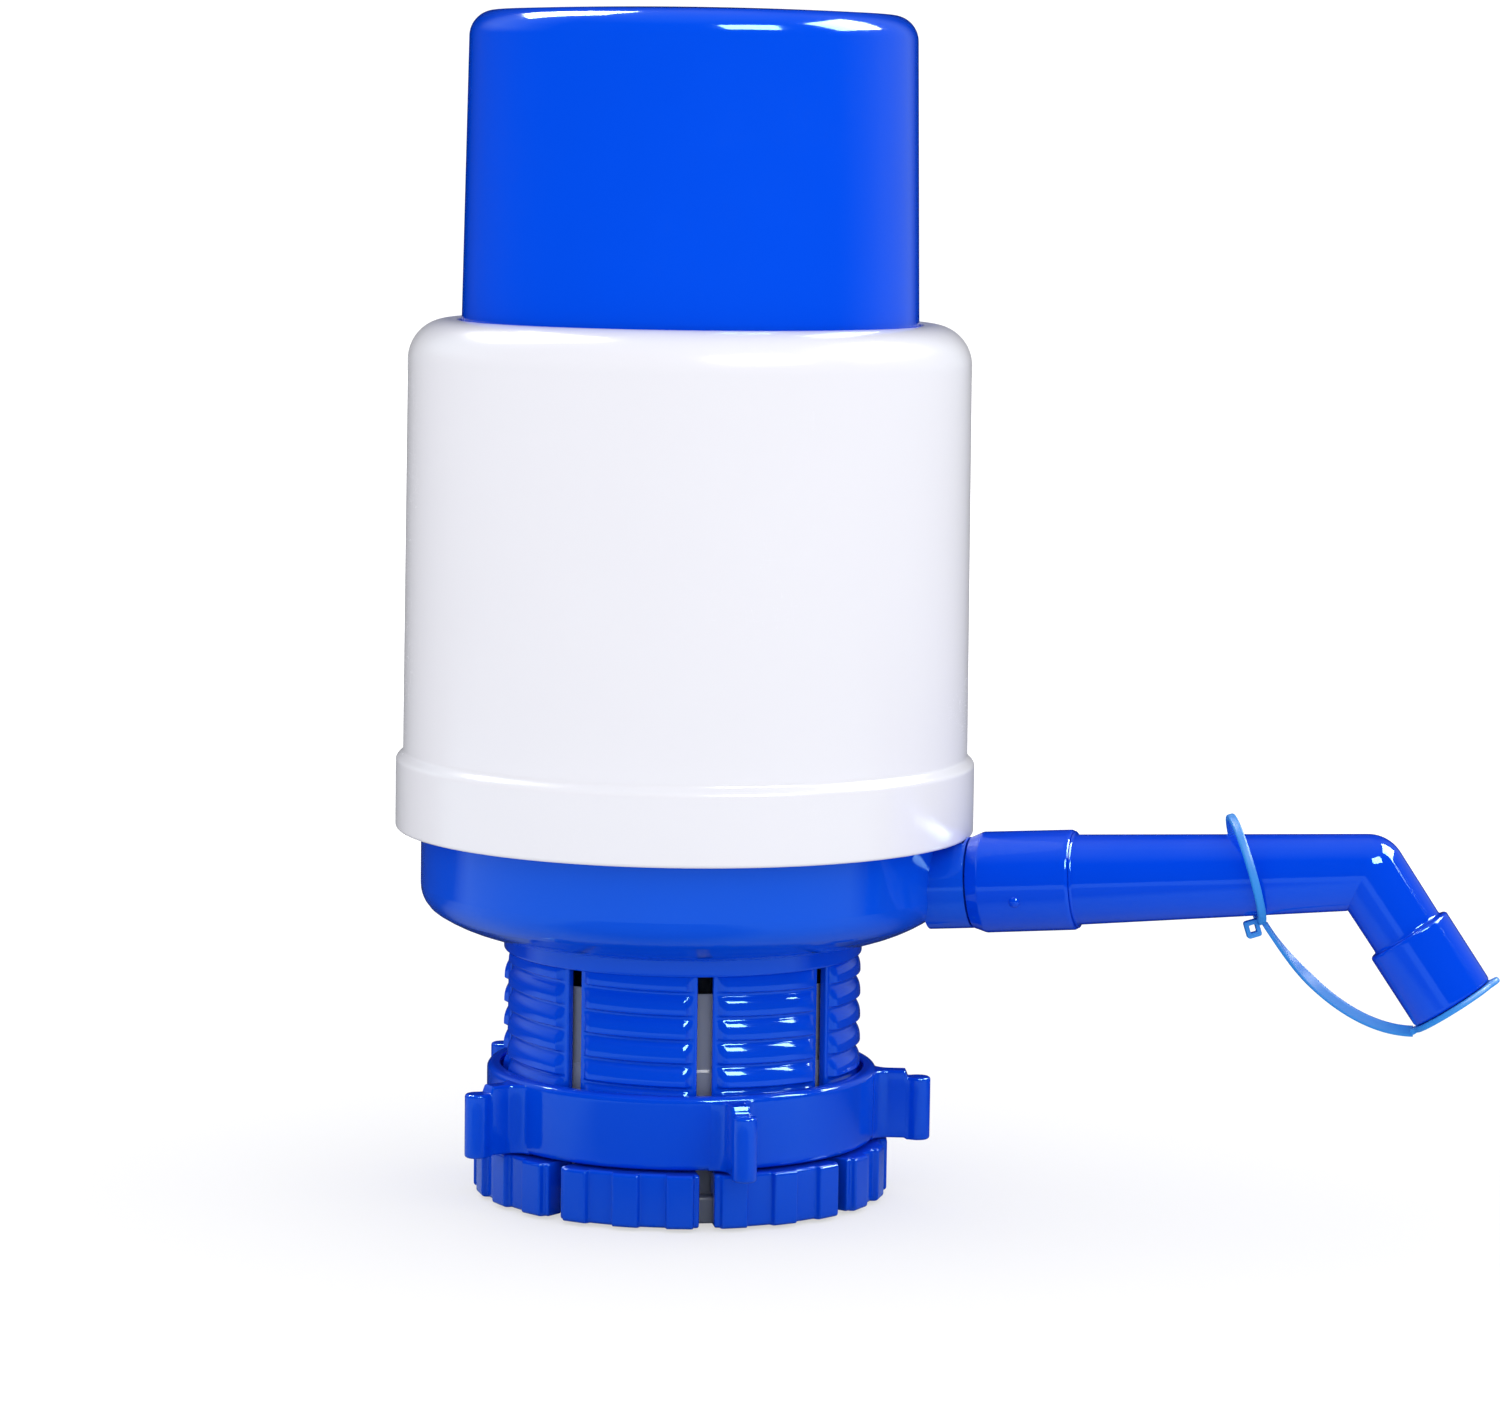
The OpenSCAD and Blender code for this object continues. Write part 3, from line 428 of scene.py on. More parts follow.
class Nodes:
    """Short ways to add shader nodes to a tree and join them."""

    def __init__(self, tree: bpy.types.NodeTree) -> None:
        """Keeps the tree that nodes go to."""
        self.tree = tree

    def add(self, kind: str, **settings: object) -> bpy.types.Node:
        """Adds a node.

        Args:
            kind: Blender's name of the node type.
            settings: Attributes of the node.

        Returns:
            The new node.
        """
        node = self.tree.nodes.new(kind)
        for key, value in settings.items():
            setattr(node, key, value)
        return node

    def feed(self, end: Socket, value: object) -> None:
        """Feeds an input.

        Args:
            end: The input.
            value: An output to join to it, or the number, vector or colour to set it to.
        """
        if isinstance(value, Socket):
            self.tree.links.new(value, end)
        else:
            end.default_value = value

    def fill(self, node: bpy.types.Node, values: dict[str, object]) -> None:
        """Feeds inputs of a node by their names."""
        for label, value in values.items():
            self.feed(node.inputs[label], value)

    def noise(self, place: Socket, scale: float, detail: float) -> Socket:
        """A noise pattern.

        Args:
            place: The place on the piece.
            scale: Features per metre.
            detail: The number of finer layers.

        Returns:
            The pattern, from 0 to 1.
        """
        node = self.add("ShaderNodeTexNoise")
        self.fill(node, {"Scale": scale, "Detail": detail, "Vector": place})
        return node.outputs["Fac"]

    def calc(self, how: str, a: Socket | float, b: Socket | float = 0.0) -> Socket:
        """One math operation.

        Args:
            how: Blender's name of the operation.
            a: The first output or number.
            b: The second one.

        Returns:
            The result.
        """
        node = self.add("ShaderNodeMath", operation=how)
        self.feed(node.inputs[0], a)
        self.feed(node.inputs[1], b)
        return node.outputs[0]

    def times(self, a: Socket | float, b: Socket | float) -> Socket:
        """The product of two outputs or numbers."""
        return self.calc("MULTIPLY", a, b)

    def fit(
        self, value: Socket, low: float, high: float, new_low: float, new_high: float
    ) -> Socket:
        """Maps a value from one range to another, and holds it there.

        Args:
            value: The value.
            low: Start of its range.
            high: End of its range.
            new_low: What the start becomes.
            new_high: What the end becomes.

        Returns:
            The mapped value.
        """
        node = self.add("ShaderNodeMapRange")
        self.fill(node, {"Value": value, "From Min": low, "From Max": high})
        self.fill(node, {"To Min": new_low, "To Max": new_high})
        return node.outputs["Result"]

    def mix(self, kind: str, factor: Socket, a: object, b: object, blend: str = "MIX") -> Socket:
        """A mix of two values or colours.

        Args:
            kind: FLOAT for values, RGBA for colours.
            factor: How much of the second one.
            a: The first output, value or colour.
            b: The second one.
            blend: How two colours are put together.

        Returns:
            The mix.
        """
        node = self.add("ShaderNodeMix", data_type=kind, blend_type=blend)
        self.fill(node, {"Factor": factor, "A": a, "B": b})
        return node.outputs["Result"]

    def vector(self, how: str, a: Socket, b: Triple = (0.0, 0.0, 0.0)) -> bpy.types.Node:
        """One vector operation.

        Args:
            how: Blender's name of the operation.
            a: The output that it works on.
            b: A fixed second vector.

        Returns:
            The node, which puts out a Vector or a Value.
        """
        node = self.add("ShaderNodeVectorMath", operation=how)
        self.feed(node.inputs[0], a)
        self.feed(node.inputs[1], b)
        return node

    def split(self, value: Socket) -> dict[str, Socket]:
        """Splits a vector.

        Args:
            value: The vector.

        Returns:
            Its parts by the names X, Y and Z.
        """
        node = self.add("ShaderNodeSeparateXYZ")
        self.feed(node.inputs[0], value)
        return {axis: node.outputs[axis] for axis in "XYZ"}

    def place(self) -> Socket:
        """The place on the piece, in its Object coordinates."""
        return self.add("ShaderNodeTexCoord").outputs["Object"]


def shader_group(
    name: str, inputs: dict[str, tuple[str, object]], outputs: dict[str, str]
) -> tuple[bpy.types.NodeTree, Nodes, dict[str, Socket], dict[str, Socket]]:
    """Starts a shader node group.

    Args:
        name: Name of the group.
        inputs: For each input its kind of socket and its usual value, or None.
        outputs: For each output its kind of socket.

    Returns:
        The group, its node helper, what the group is given, and what it has to put out.
    """
    group = bpy.data.node_groups.new(name, "ShaderNodeTree")
    kinds = {"value": "NodeSocketFloat", "colour": "NodeSocketColor", "vector": "NodeSocketVector"}
    for label, (kind, value) in inputs.items():
        socket = group.interface.new_socket(name=label, in_out="INPUT", socket_type=kinds[kind])
        if value is not None:
            socket.default_value = value
    for label, kind in outputs.items():
        group.interface.new_socket(name=label, in_out="OUTPUT", socket_type=kinds[kind])
    nodes = Nodes(group)
    given = nodes.add("NodeGroupInput").outputs
    wanted = nodes.add("NodeGroupOutput").inputs
    return group, nodes, {k: given[k] for k in inputs}, {k: wanted[k] for k in outputs}


class Effects:
    """Node groups that the finishes share, each built once.

    Each Pair is a noise pattern: its features per metre and its number of finer layers.
    """

    drift: Pair = (42.0, 3.0)
    smear: Pair = (130.0, 4.0)
    peel: Pair = (260.0, 1.0)
    grain: Pair = (2400.0, 2.0)
    film: Pair = (75.0, 6.0)
    marks: Pair = (95.0, 2.0)
    patches: Pair = (30.0, 1.0)
    mark_lays: tuple[tuple[Triple, float], ...] = (((1.0, 14.0, 1.0), 0.5), ((1.0, 1.0, 11.0), 1.1))
    mark_width: float = 0.012

    def __init__(self) -> None:
        """Builds the groups."""
        self.skin = self._moulded_skin()
        self.dust = self._settled_dust()
        self.scuffs = self._fine_scuffs()

    def _moulded_skin(self) -> bpy.types.NodeTree:
        """Moulded plastic's skin: slow drifts of tone and gloss, and a slight orange peel.

        Returns:
            The group.
        """
        group, n, given, out = shader_group(
            "moulded_skin",
            {
                "Place": ("vector", None),
                "Color": ("colour", (0.5, 0.5, 0.5, 1.0)),
                "Tone Drift": ("value", 0.05),
                "Roughness": ("value", 0.2),
                "Gloss Drift": ("value", 0.05),
                "Grain": ("value", 0.2),
            },
            {"Color": "colour", "Roughness": "value", "Height": "value"},
        )
        drift = n.calc("SUBTRACT", n.noise(given["Place"], *self.drift), 0.5)
        tone = n.add("ShaderNodeHueSaturation")
        n.feed(tone.inputs["Color"], given["Color"])
        n.feed(tone.inputs["Value"], n.calc("ADD", n.times(drift, given["Tone Drift"]), 1.0))
        n.feed(out["Color"], tone.outputs["Color"])
        smear = n.calc("SUBTRACT", n.noise(given["Place"], *self.smear), 0.5)
        rough = n.calc("ADD", given["Roughness"], n.times(smear, given["Gloss Drift"]))
        n.feed(out["Roughness"], rough)
        grain = n.times(n.noise(given["Place"], *self.grain), given["Grain"])
        n.feed(out["Height"], n.calc("ADD", n.noise(given["Place"], *self.peel), grain))
        return group

    def _settled_dust(self) -> bpy.types.NodeTree:
        """A faint pale film where the surface faces up, broken by noise.

        Returns:
            The group.
        """
        group, n, given, out = shader_group(
            "settled_dust",
            {
                "Place": ("vector", None),
                "Color": ("colour", (0.5, 0.5, 0.5, 1.0)),
                "Dust": ("colour", (0.6, 0.6, 0.62, 1.0)),
                "Amount": ("value", 0.03),
            },
            {"Color": "colour", "Mask": "value"},
        )
        normal = n.add("ShaderNodeNewGeometry").outputs["Normal"]
        up = n.fit(n.split(normal)["Z"], 0.55, 1.0, 0.0, 1.0)
        film = n.times(up, n.fit(n.noise(given["Place"], *self.film), 0.35, 0.75, 0.2, 1.0))
        mask = n.times(film, given["Amount"])
        n.feed(out["Color"], n.mix("RGBA", mask, given["Color"], given["Dust"]))
        n.feed(out["Mask"], mask)
        return group

    def _fine_scuffs(self) -> bpy.types.NodeTree:
        """Hair-fine handling marks: noise drawn out along one direction and cut to thin lines.

        Returns:
            The group.
        """
        group, n, given, out = shader_group(
            "fine_scuffs",
            {
                "Place": ("vector", None),
                "Roughness": ("value", 0.2),
                "Amount": ("value", 0.05),
            },
            {"Roughness": "value", "Mask": "value"},
        )
        lines = []
        for stretch, turn in self.mark_lays:
            lay = n.add("ShaderNodeMapping")
            n.fill(lay, {"Vector": given["Place"], "Scale": stretch})
            n.fill(lay, {"Rotation": (turn, 0.4 * turn, turn)})
            off = n.calc("SUBTRACT", n.noise(lay.outputs["Vector"], *self.marks), 0.5)
            lines.append(n.fit(n.calc("ABSOLUTE", off), 0.0, self.mark_width, 1.0, 0.0))
        some = n.fit(n.noise(given["Place"], *self.patches), 0.5, 0.62, 0.0, 1.0)
        mask = n.times(n.calc("MAXIMUM", *lines), some)
        n.feed(out["Mask"], mask)
        rough = n.calc("ADD", given["Roughness"], n.times(mask, given["Amount"]))
        n.feed(out["Roughness"], rough)
        return group


@dataclass(frozen=True)
class Plastic:
    """A moulded plastic finish. Colours are from 0 to 255, and peel is in millimetres."""

    name: str
    colour: Triple
    roughness: float = 0.1
    tone: float = 0.06
    gloss: float = 0.05
    grain: float = 0.12
    peel: float = 0.012
    dust: float = 0.025
    scuffs: float = 0.08
    ior: float = 1.5
    clear: float = 0.0
    glow: float = 0.0
    glow_radius: Triple = (0.6, 0.9, 1.0)
    glow_scale: float = 0.002
    coat: float = 0.0
    coat_roughness: float = 0.06
    tint: Triple = (255, 255, 255)

    def material(self, effects: Effects) -> bpy.types.Material:
        """Builds the material.

        Args:
            effects: The shared node groups.

        Returns:
            The material, whose patterns lie on Object coordinates.
        """
        made = bpy.data.materials.new(self.name)
        made.use_nodes = True
        n = Nodes(made.node_tree)
        place = n.place()
        skin = n.add("ShaderNodeGroup", node_tree=effects.skin)
        dust = n.add("ShaderNodeGroup", node_tree=effects.dust)
        scuffs = n.add("ShaderNodeGroup", node_tree=effects.scuffs)
        bump = n.add("ShaderNodeBump")
        shader = made.node_tree.nodes["Principled BSDF"]
        n.fill(skin, {"Place": place, "Color": linear(self.colour), "Tone Drift": self.tone})
        n.fill(skin, {"Roughness": self.roughness, "Gloss Drift": self.gloss, "Grain": self.grain})
        n.fill(dust, {"Place": place, "Color": skin.outputs["Color"], "Amount": self.dust})
        n.fill(scuffs, {"Place": place, "Roughness": skin.outputs["Roughness"]})
        n.fill(scuffs, {"Amount": self.scuffs})
        n.fill(bump, {"Strength": 1.0, "Distance": self.peel * MM})
        n.fill(bump, {"Height": skin.outputs["Height"]})
        n.fill(
            shader,
            {
                "Base Color": dust.outputs["Color"],
                "Roughness": scuffs.outputs["Roughness"],
                "Normal": bump.outputs["Normal"],
                "IOR": self.ior,
                "Transmission Weight": self.clear,
                "Specular Tint": linear(self.tint),
                "Coat Weight": self.coat,
                "Coat Roughness": self.coat_roughness,
            },
        )
        if self.glow > 0.0:
            n.fill(shader, {"Subsurface Weight": self.glow, "Subsurface Scale": self.glow_scale})
            n.fill(shader, {"Subsurface Radius": self.glow_radius})
        return made


@dataclass(frozen=True)
class DrawnWire:
    """A drawn steel wire finish with fine lines across its turns."""

    name: str
    colour: Triple
    roughness: float = 0.24
    duller: float = 0.08
    glossier: float = 0.05
    scuffs: float = 0.15
    streaks: Pair = (700.0, 3.0)
    stretch: Triple = (1.0, 1.0, 9.0)

    def material(self, effects: Effects) -> bpy.types.Material:
        """Builds the material from fine streaks and the shared scuffs.

        Args:
            effects: The shared node groups.

        Returns:
            The material.
        """
        made = bpy.data.materials.new(self.name)
        made.use_nodes = True
        n = Nodes(made.node_tree)
        shader = made.node_tree.nodes["Principled BSDF"]
        place = n.place()
        lay = n.add("ShaderNodeMapping")
        n.fill(lay, {"Vector": place, "Scale": self.stretch})
        streak = n.noise(lay.outputs["Vector"], *self.streaks)
        tone = n.add("ShaderNodeHueSaturation")
        n.fill(tone, {"Color": linear(self.colour), "Value": n.fit(streak, 0.3, 0.7, 0.85, 1.1)})
        low, high = self.roughness - self.glossier, self.roughness + self.duller
        scuffs = n.add("ShaderNodeGroup", node_tree=effects.scuffs)
        n.fill(scuffs, {"Place": place, "Amount": self.scuffs})
        n.fill(scuffs, {"Roughness": n.fit(streak, 0.3, 0.7, low, high)})
        n.fill(shader, {"Base Color": tone.outputs["Color"], "Metallic": 1.0})
        n.fill(shader, {"Roughness": scuffs.outputs["Roughness"]})
        return made


class Finishes:
    """The pump's finishes by slot."""

    def __init__(self) -> None:
        """Builds one material for each slot."""
        effects = Effects()
        sky = (140, 240, 255)
        rows = {
            Slot.CAP: Plastic("cap_blue_plastic", (0, 78, 240), coat=0.25, tint=sky),
            Slot.BOWL: Plastic("bowl_blue_plastic", (6, 80, 230), coat=0.2, tint=sky),
            Slot.COLLAR: Plastic("collar_blue_plastic", (0, 74, 232), coat=0.25, tint=sky),
            Slot.SPOUT: Plastic(
                "spout_blue_plastic", (0, 70, 232), roughness=0.07, coat=0.3, tint=sky
            ),
            Slot.STRAP: Plastic(
                "strap_blue_plastic", (34, 144, 236), roughness=0.46, tone=0.1, grain=0.3, glow=0.2
            ),
            Slot.COVER: Plastic(
                "cover_white_plastic",
                (244, 244, 252),
                roughness=0.2,
                tone=0.02,
                dust=0.01,
                coat=0.12,
            ),
            Slot.CLEAR: Plastic(
                "milky_plastic", (160, 168, 184), roughness=0.36, grain=0.4, clear=0.35, glow=0.2
            ),
            Slot.SEAL: Plastic(
                "seal_rubber",
                (190, 192, 196),
                roughness=0.55,
                tone=0.1,
                grain=0.8,
                dust=0.12,
                scuffs=0.02,
            ),
            Slot.STEEL: DrawnWire("spring_wire", (196, 198, 202)),
        }
        self.by_slot = {slot: row.material(effects) for slot, row in rows.items()}

    def settle(self, piece: bpy.types.Object, body: Body, slot: Slot, node: str) -> None:
        """Lets a new piece ride on its body, and dresses it.

        Args:
            piece: The piece.
            body: The body that it rides on.
            slot: The record's slot that its finish belongs to.
            node: The frame's node that it stands for.
        """
        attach(piece, body.value)
        self.dress_new(piece, slot, node)

    def dress_new(self, piece: bpy.types.Object, slot: Slot, node: str) -> None:
        """Gives a new piece its finish, hides the node it stands for, and reports it.

        Args:
            piece: The piece, which already has its place on the frame.
            slot: The record's slot that its finish belongs to.
            node: The frame's node that it stands for.
        """
        piece.data.materials.append(self.by_slot[slot])
        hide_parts(node)
        LOG.info("%s: %d faces, %s", piece.name, len(piece.data.polygons), slot.value)

    def dress(self, node: bpy.types.Object, slot: Slot) -> None:
        """Gives one of the frame's own nodes its finish, and reports it.

        Args:
            node: The node, which keeps its shape and its place.
            slot: The record's slot that its finish belongs to.
        """
        node.data.materials.clear()
        node.data.materials.append(self.by_slot[slot])
        LOG.info("%s: kept from the frame, %s", node.name, slot.value)


# ---------- press cap, cover and bowl ----------


@dataclass
class PressCap:
    """The blue cap that is pressed down, with its guide ring and its inner rings."""

    radius: float = 39.5
    top_radius: float = 38.5
    wall: float = 2.0
    edge: float = 4.5
    edge_z: float = 200.0
    top_z: float = 205.3
    dome: float = 0.8
    guide: Four = (46.55, 140.0, 144.6, 149.5)  # radius, foot, top of its wall, top
    guide_top_r: float = 42.65
    guide_inner_r: float = 44.55
    guide_foot: float = 2.5
    guide_rise: float = 6.9
    below_edge: float = 3.0
    rings: tuple[Triple, ...] = ((14.1, 16.5, 197.8), (25.5, 27.5, 197.0))  # inner, outer, foot
    ribs: int = 8
    rib: Four = (16.2, 25.8, 0.8, 198.0)  # start, end, half width, foot
    under_top: float = 202.9

    def _crown(self, inset_by: float, count: int) -> Array:
        """The rounded edge and the shallow dome above it, from the wall to the axis.

        The edge is a quarter circle, and the dome is a parabola that falls by the dome's
        height from the axis to the edge.

        Args:
            inset_by: How far both are drawn in.
            count: The number of points on the edge.

        Returns:
            Rows of radius and height.
        """
        flat_r = self.top_radius - self.edge
        edge = arc_points((flat_r, self.edge_z), self.edge - inset_by, 0.0, 87.0, count)
        r = np.linspace(flat_r, 0.0, 26)[1:]
        dome_z = self.top_z - self.dome * (r / flat_r) ** 2 - inset_by
        return np.concatenate([edge, np.stack([r, dome_z], axis=1)])

    def outline(self) -> Array:
        """The closed half section, from the guide ring up the outside and down the inside.

        Returns:
            Rows of radius and height.
        """
        guide_r, low, high, top = self.guide
        edge_foot = self.edge_z - self.below_edge
        foot = rounded(
            [
                (self.radius - self.wall, low + self.guide_rise),
                (self.guide_inner_r, low + self.guide_foot),
                (self.guide_inner_r, low),
                (guide_r, low),
                (guide_r, high),
                (self.guide_top_r, top),
                (self.radius, top),
                (self.top_radius, edge_foot),
                (self.top_radius - self.wall, edge_foot),
            ],
            [0.8, 0.6, 0.5, 0.5, 0.8, 0.5, 0.4, 0.0, 0.0],
        )[:-1]
        inner = self._crown(self.wall, 10)[::-1]
        return distinct(np.concatenate([foot[:-1], self._crown(0.0, 22), inner]))

    def build(self, finishes: Finishes) -> None:
        """Builds the cap with the rings and ribs under its top, and dresses it.

        Args:
            finishes: The pump's finishes.
        """
        skin = Skin().turned(self.outline(), 240)
        for inner, outer, foot in self.rings:
            skin.turned(rounded(box(inner, outer, foot, self.under_top), 0.3, 3), 96)
        start, end, half, foot = self.rib
        section = rounded(box(-half, half, foot, self.under_top), 0.25, 3)
        run = np.linspace(start, end, 3)
        axis = np.stack([run, 0.0 * run, 0.0 * run], axis=1)
        across, up = (np.broadcast_to(way, axis.shape) for way in (SIDEWAYS, UP))
        rows = swept(axis, across, up, section)
        for k in range(self.ribs):
            skin.tube(turned_z(rows, 360.0 / self.ribs * (k + 0.5)))
        finishes.settle(skin.build("press_cap_shell"), Body.PLUNGER, Slot.CAP, "press_cap")


@dataclass
class OuterCover:
    """The white cover with its rounded shoulder and its thicker band."""

    foot_z: float = 63.7
    top_z: float = 151.8
    shoulder_radius: float = 48.65
    foot_radius: float = 49.1
    band_radius: float = 50.35
    band_top: float = 75.85
    step_top: float = 77.1
    shoulder: float = 7.0
    wall: float = 1.8
    hole: float = 40.0
    lip: float = 2.0
    inner_top: float = 46.85
    inner_foot: Pair = (47.3, 76.1)  # radius and height
    bore: Pair = (48.55, 73.85)  # radius and top
    ledge: Triple = (46.0, 66.8, 69.6)  # radius, low and high

    def outline(self) -> Array:
        """The closed half section, up the outside and down the inside, with the snap ledge.

        Straight walls come from rounded corners. The shoulder's two quarter circles and the
        lip at its hole are put in where the walls end. The lip is the part near the hole of
        an outline that closes further out.

        Returns:
            Rows of radius and height.
        """
        start = self.top_z - self.shoulder
        straight = start - 0.6
        centre = (self.shoulder_radius - self.shoulder, start)
        bore = self.bore[0]
        ledge, ledge_low, ledge_high = self.ledge
        outside = rounded(
            [
                (bore, self.foot_z),
                (self.band_radius, self.foot_z),
                (self.band_radius, self.band_top),
                (self.foot_radius, self.step_top),
                (self.shoulder_radius, straight),
                (self.inner_top, straight),
                self.inner_foot,
                self.bore,
                (bore, ledge_high),
                (ledge, ledge_high),
                (ledge, ledge_low),
                (bore, ledge_low),
            ],
            [0.3, 0.55, 1.15, 0.9, 0.0, 0.0, 0.6, 0.6, 0.3, 0.3, 0.3, 0.3],
        )
        cut = int(np.argmin(np.abs(outside - np.array([self.inner_top, straight])).sum(1)))
        crown = rounded(
            [
                (self.hole, self.top_z),
                (self.hole, self.top_z - self.lip),
                (self.hole + 4.0, self.top_z - 2.8),
                (self.hole + 4.0, self.top_z - 0.8),
            ],
            [0.45, 0.3, 0.0, 0.0],
        )
        lip = crown[crown[:, 0] < self.hole + 2.0]
        over = arc_points(centre, self.shoulder, 0.0, 90.0, 24)
        under = arc_points(centre, self.shoulder - self.wall, 88.0, 0.0, 12)
        return distinct(np.concatenate([outside[:cut], over, lip, under, outside[cut:]]))

    def build(self, finishes: Finishes) -> None:
        """Builds the cover and dresses it.

        Args:
            finishes: The pump's finishes.
        """
        skin = Skin().turned(self.outline(), 240)
        finishes.settle(skin.build("outer_cover_shell"), Body.BASE, Slot.COVER, "outer_cover")


@dataclass
class Kept:
    """Frame nodes whose shapes are right as they are, by slot."""

    slots: dict[str, Slot] = field(
        default_factory=lambda: {
            "base_bowl": Slot.BOWL,
            "bellows_crown": Slot.CLEAR,
            "bellows_clamp": Slot.CLEAR,
            "bellows_seat": Slot.CLEAR,
            "tube_connector": Slot.CLEAR,
        }
    )

    def build(self, finishes: Finishes, nodes: dict[str, bpy.types.Object]) -> None:
        """Dresses the kept nodes.

        Args:
            finishes: The pump's finishes.
            nodes: The frame's nodes by name.
        """
        for name, slot in self.slots.items():
            finishes.dress(nodes[name], slot)


# ---------- neck collar, liner and lock ring ----------


@dataclass
class NeckCollar:
    """The slotted collar: threaded fingers, a closed band above them, a ribbed flange below."""

    slots: int = 8
    slot_half: float = 1.3
    inner: float = 28.7
    outer: float = 30.2
    height: float = 45.3
    slot_top: float = 42.3
    band: float = 31.3
    pitch: float = 4.1
    rise: float = 0.9
    taper: float = 0.35
    up: float = 2.9
    bulge: float = 2.5
    flat: float = 0.35
    down: float = 0.75
    first_tip: float = 2.501
    lowest: float = 14.4
    highest: float = 41.25
    end_arc: float = 17.75
    fade: float = 0.9
    lead_in: Pair = (10.0, 13.0)  # heights between which a finger begins to follow the thread
    finger_foot: Pair = (9.0, 11.0)  # inside the flange, and above it
    finger_edge: float = 0.38
    finger_step: float = 0.55
    flange: float = 35.3
    flange_height: float = 9.2
    foot: Pair = (31.6, 4.7)  # the recess for the liner's foot: radius and height
    rib_rise: float = 1.0
    rib_half: float = 2.2
    rib_pitch: float = 15.0
    end_round: float = 0.4
    tongue: Pair = (29.0, 1.6)  # inner radius and rise

    def half_angle(self, radius: Array) -> Array:
        """Half a finger's angle: half a pitch less arc sine of the slot's half width / radius."""
        return math.pi / self.slots - np.arcsin(self.slot_half / radius)

    def relief(self, finger: int) -> Array:
        """Heights along a finger and how far the ridges stand out there.

        Each ridge is a sawtooth: out along a short flank below its tip, level for the flat,
        and back above it with the rise 1 - t^bulge over the share t of the long flank, so the
        flank bulges and its upper edge is round.

        Args:
            finger: Number of the finger, counted from the spout.

        Returns:
            Rows of (height, rise), heights going up.
        """
        tip = self.first_tip - self.pitch * finger / self.slots
        lowest = math.ceil((self.lowest - tip) / self.pitch)
        highest = math.floor((self.highest - tip) / self.pitch)
        tips = tip + self.pitch * np.arange(lowest, highest + 1)
        rows = [np.array([[z, 0.0] for z in self.finger_foot])]
        for z in tips:
            crest = self.rise + self.taper * (1.0 - z / self.height)
            tooth = rounded(
                [
                    (z - self.down - 0.3, 0.0),
                    (z - self.down, 0.0),
                    (z - self.flat, crest),
                    (z, crest),
                    (z, -3.0),
                ],
                [0.0, 0.16, 0.22, 0.0, 0.0],
                4,
            )
            rows.append(tooth[tooth[:, 1] > -1.0][:-1])
            t = np.linspace(0.0, 1.0, 12)
            rows.append(np.stack([z + self.up * t, crest * (1.0 - t**self.bulge)], axis=1))
        rows.append(np.array([[self.slot_top + 0.2, 0.0]]))
        all_rows = np.concatenate(rows)
        return all_rows[np.argsort(all_rows[:, 0], kind="stable")]

    def finger(self, skin: Skin, number: int) -> None:
        """Adds one finger.

        The section is a rounded bar between the two radii, given by its share v of the half
        angle and its radius. It is carried up the relief's heights, where its outer face
        moves out by the ridge's rise, faded out before the slot. Heights follow the thread:
        they fall by one pitch for each turn.

        Args:
            skin: The skin to add to.
            number: Number of the finger.
        """
        half = 10.0
        bar = rounded(box(-half, half, self.inner, self.outer), self.finger_edge, 5)
        bar = densified(bar, self.finger_step)
        share, radius = bar[:, 0] / half, bar[:, 1]
        angle = share * self.half_angle(radius)
        fade = ramp(np.degrees(np.abs(angle)), self.end_arc, self.end_arc - self.fade)
        face = np.where(radius > self.outer - 0.02, fade, 0.0)
        z, rise = self.relief(number).T
        lead = ramp(z, *self.lead_in) * ramp(z, self.slot_top + 0.1, self.slot_top - 1.0)
        height = z[:, None] - self.pitch / TURN * angle[None] * lead[:, None]
        out = radius[None] + rise[:, None] * face[None]
        skin.tube(polar(out, angle + number * TURN / self.slots, height))

    def flange_part(self, skin: Skin, number: int) -> None:
        """Adds the part of the flange below one finger.

        The half section is carried round the part, and its rim moves out by the rib's rise:
        a rounded trapezoid at every rib. At each end the section draws in along a quarter
        circle, so that the edges at the slots are rounded.

        Args:
            skin: The skin to add to.
            number: Number of the finger.
        """
        foot_r, foot_z = self.foot
        section = rounded(
            [
                (self.inner, foot_z),
                (foot_r, foot_z),
                (foot_r, 0.0),
                (self.flange, 0.0),
                (self.flange, self.flange_height),
                (self.inner, self.flange_height),
            ],
            [0.0, 0.25, 0.3, 0.6, 0.6, 0.0],
            6,
        )
        pitch = math.radians(self.rib_pitch)
        gap = pitch * self.flange / 2.0
        wave = rounded(
            [
                (-gap, 0.0),
                (-self.rib_half - 0.25, 0.0),
                (-self.rib_half + 0.05, self.rib_rise),
                (self.rib_half - 0.05, self.rib_rise),
                (self.rib_half + 0.25, 0.0),
                (gap, 0.0),
                (0.0, -9.0),
            ],
            [0.0, 0.35, 0.35, 0.35, 0.35, 0.0, 0.0],
            5,
        )
        wave = wave[wave[:, 1] > -1.0]
        wave = wave[np.argsort(wave[:, 0])]
        top = float(self.half_angle(np.array(self.flange + self.rib_rise)))
        angles = np.concatenate([wave[:, 0] / self.flange + k * pitch for k in (-1, 0, 1)])
        rises = np.tile(wave[:, 1], 3)
        keep = np.abs(angles) < top - 0.012
        quarter = np.linspace(0.0, QUARTER, 5)
        near = self.end_round * (1.0 - np.sin(quarter)) / self.flange
        ends = top - near
        rise_at_end = np.interp(ends, angles, rises)
        angles = np.concatenate([-ends[::-1], angles[keep], ends])
        rises = np.concatenate([rise_at_end[::-1], rises[keep], rise_at_end])
        end = self.end_round * (1.0 - np.cos(quarter))
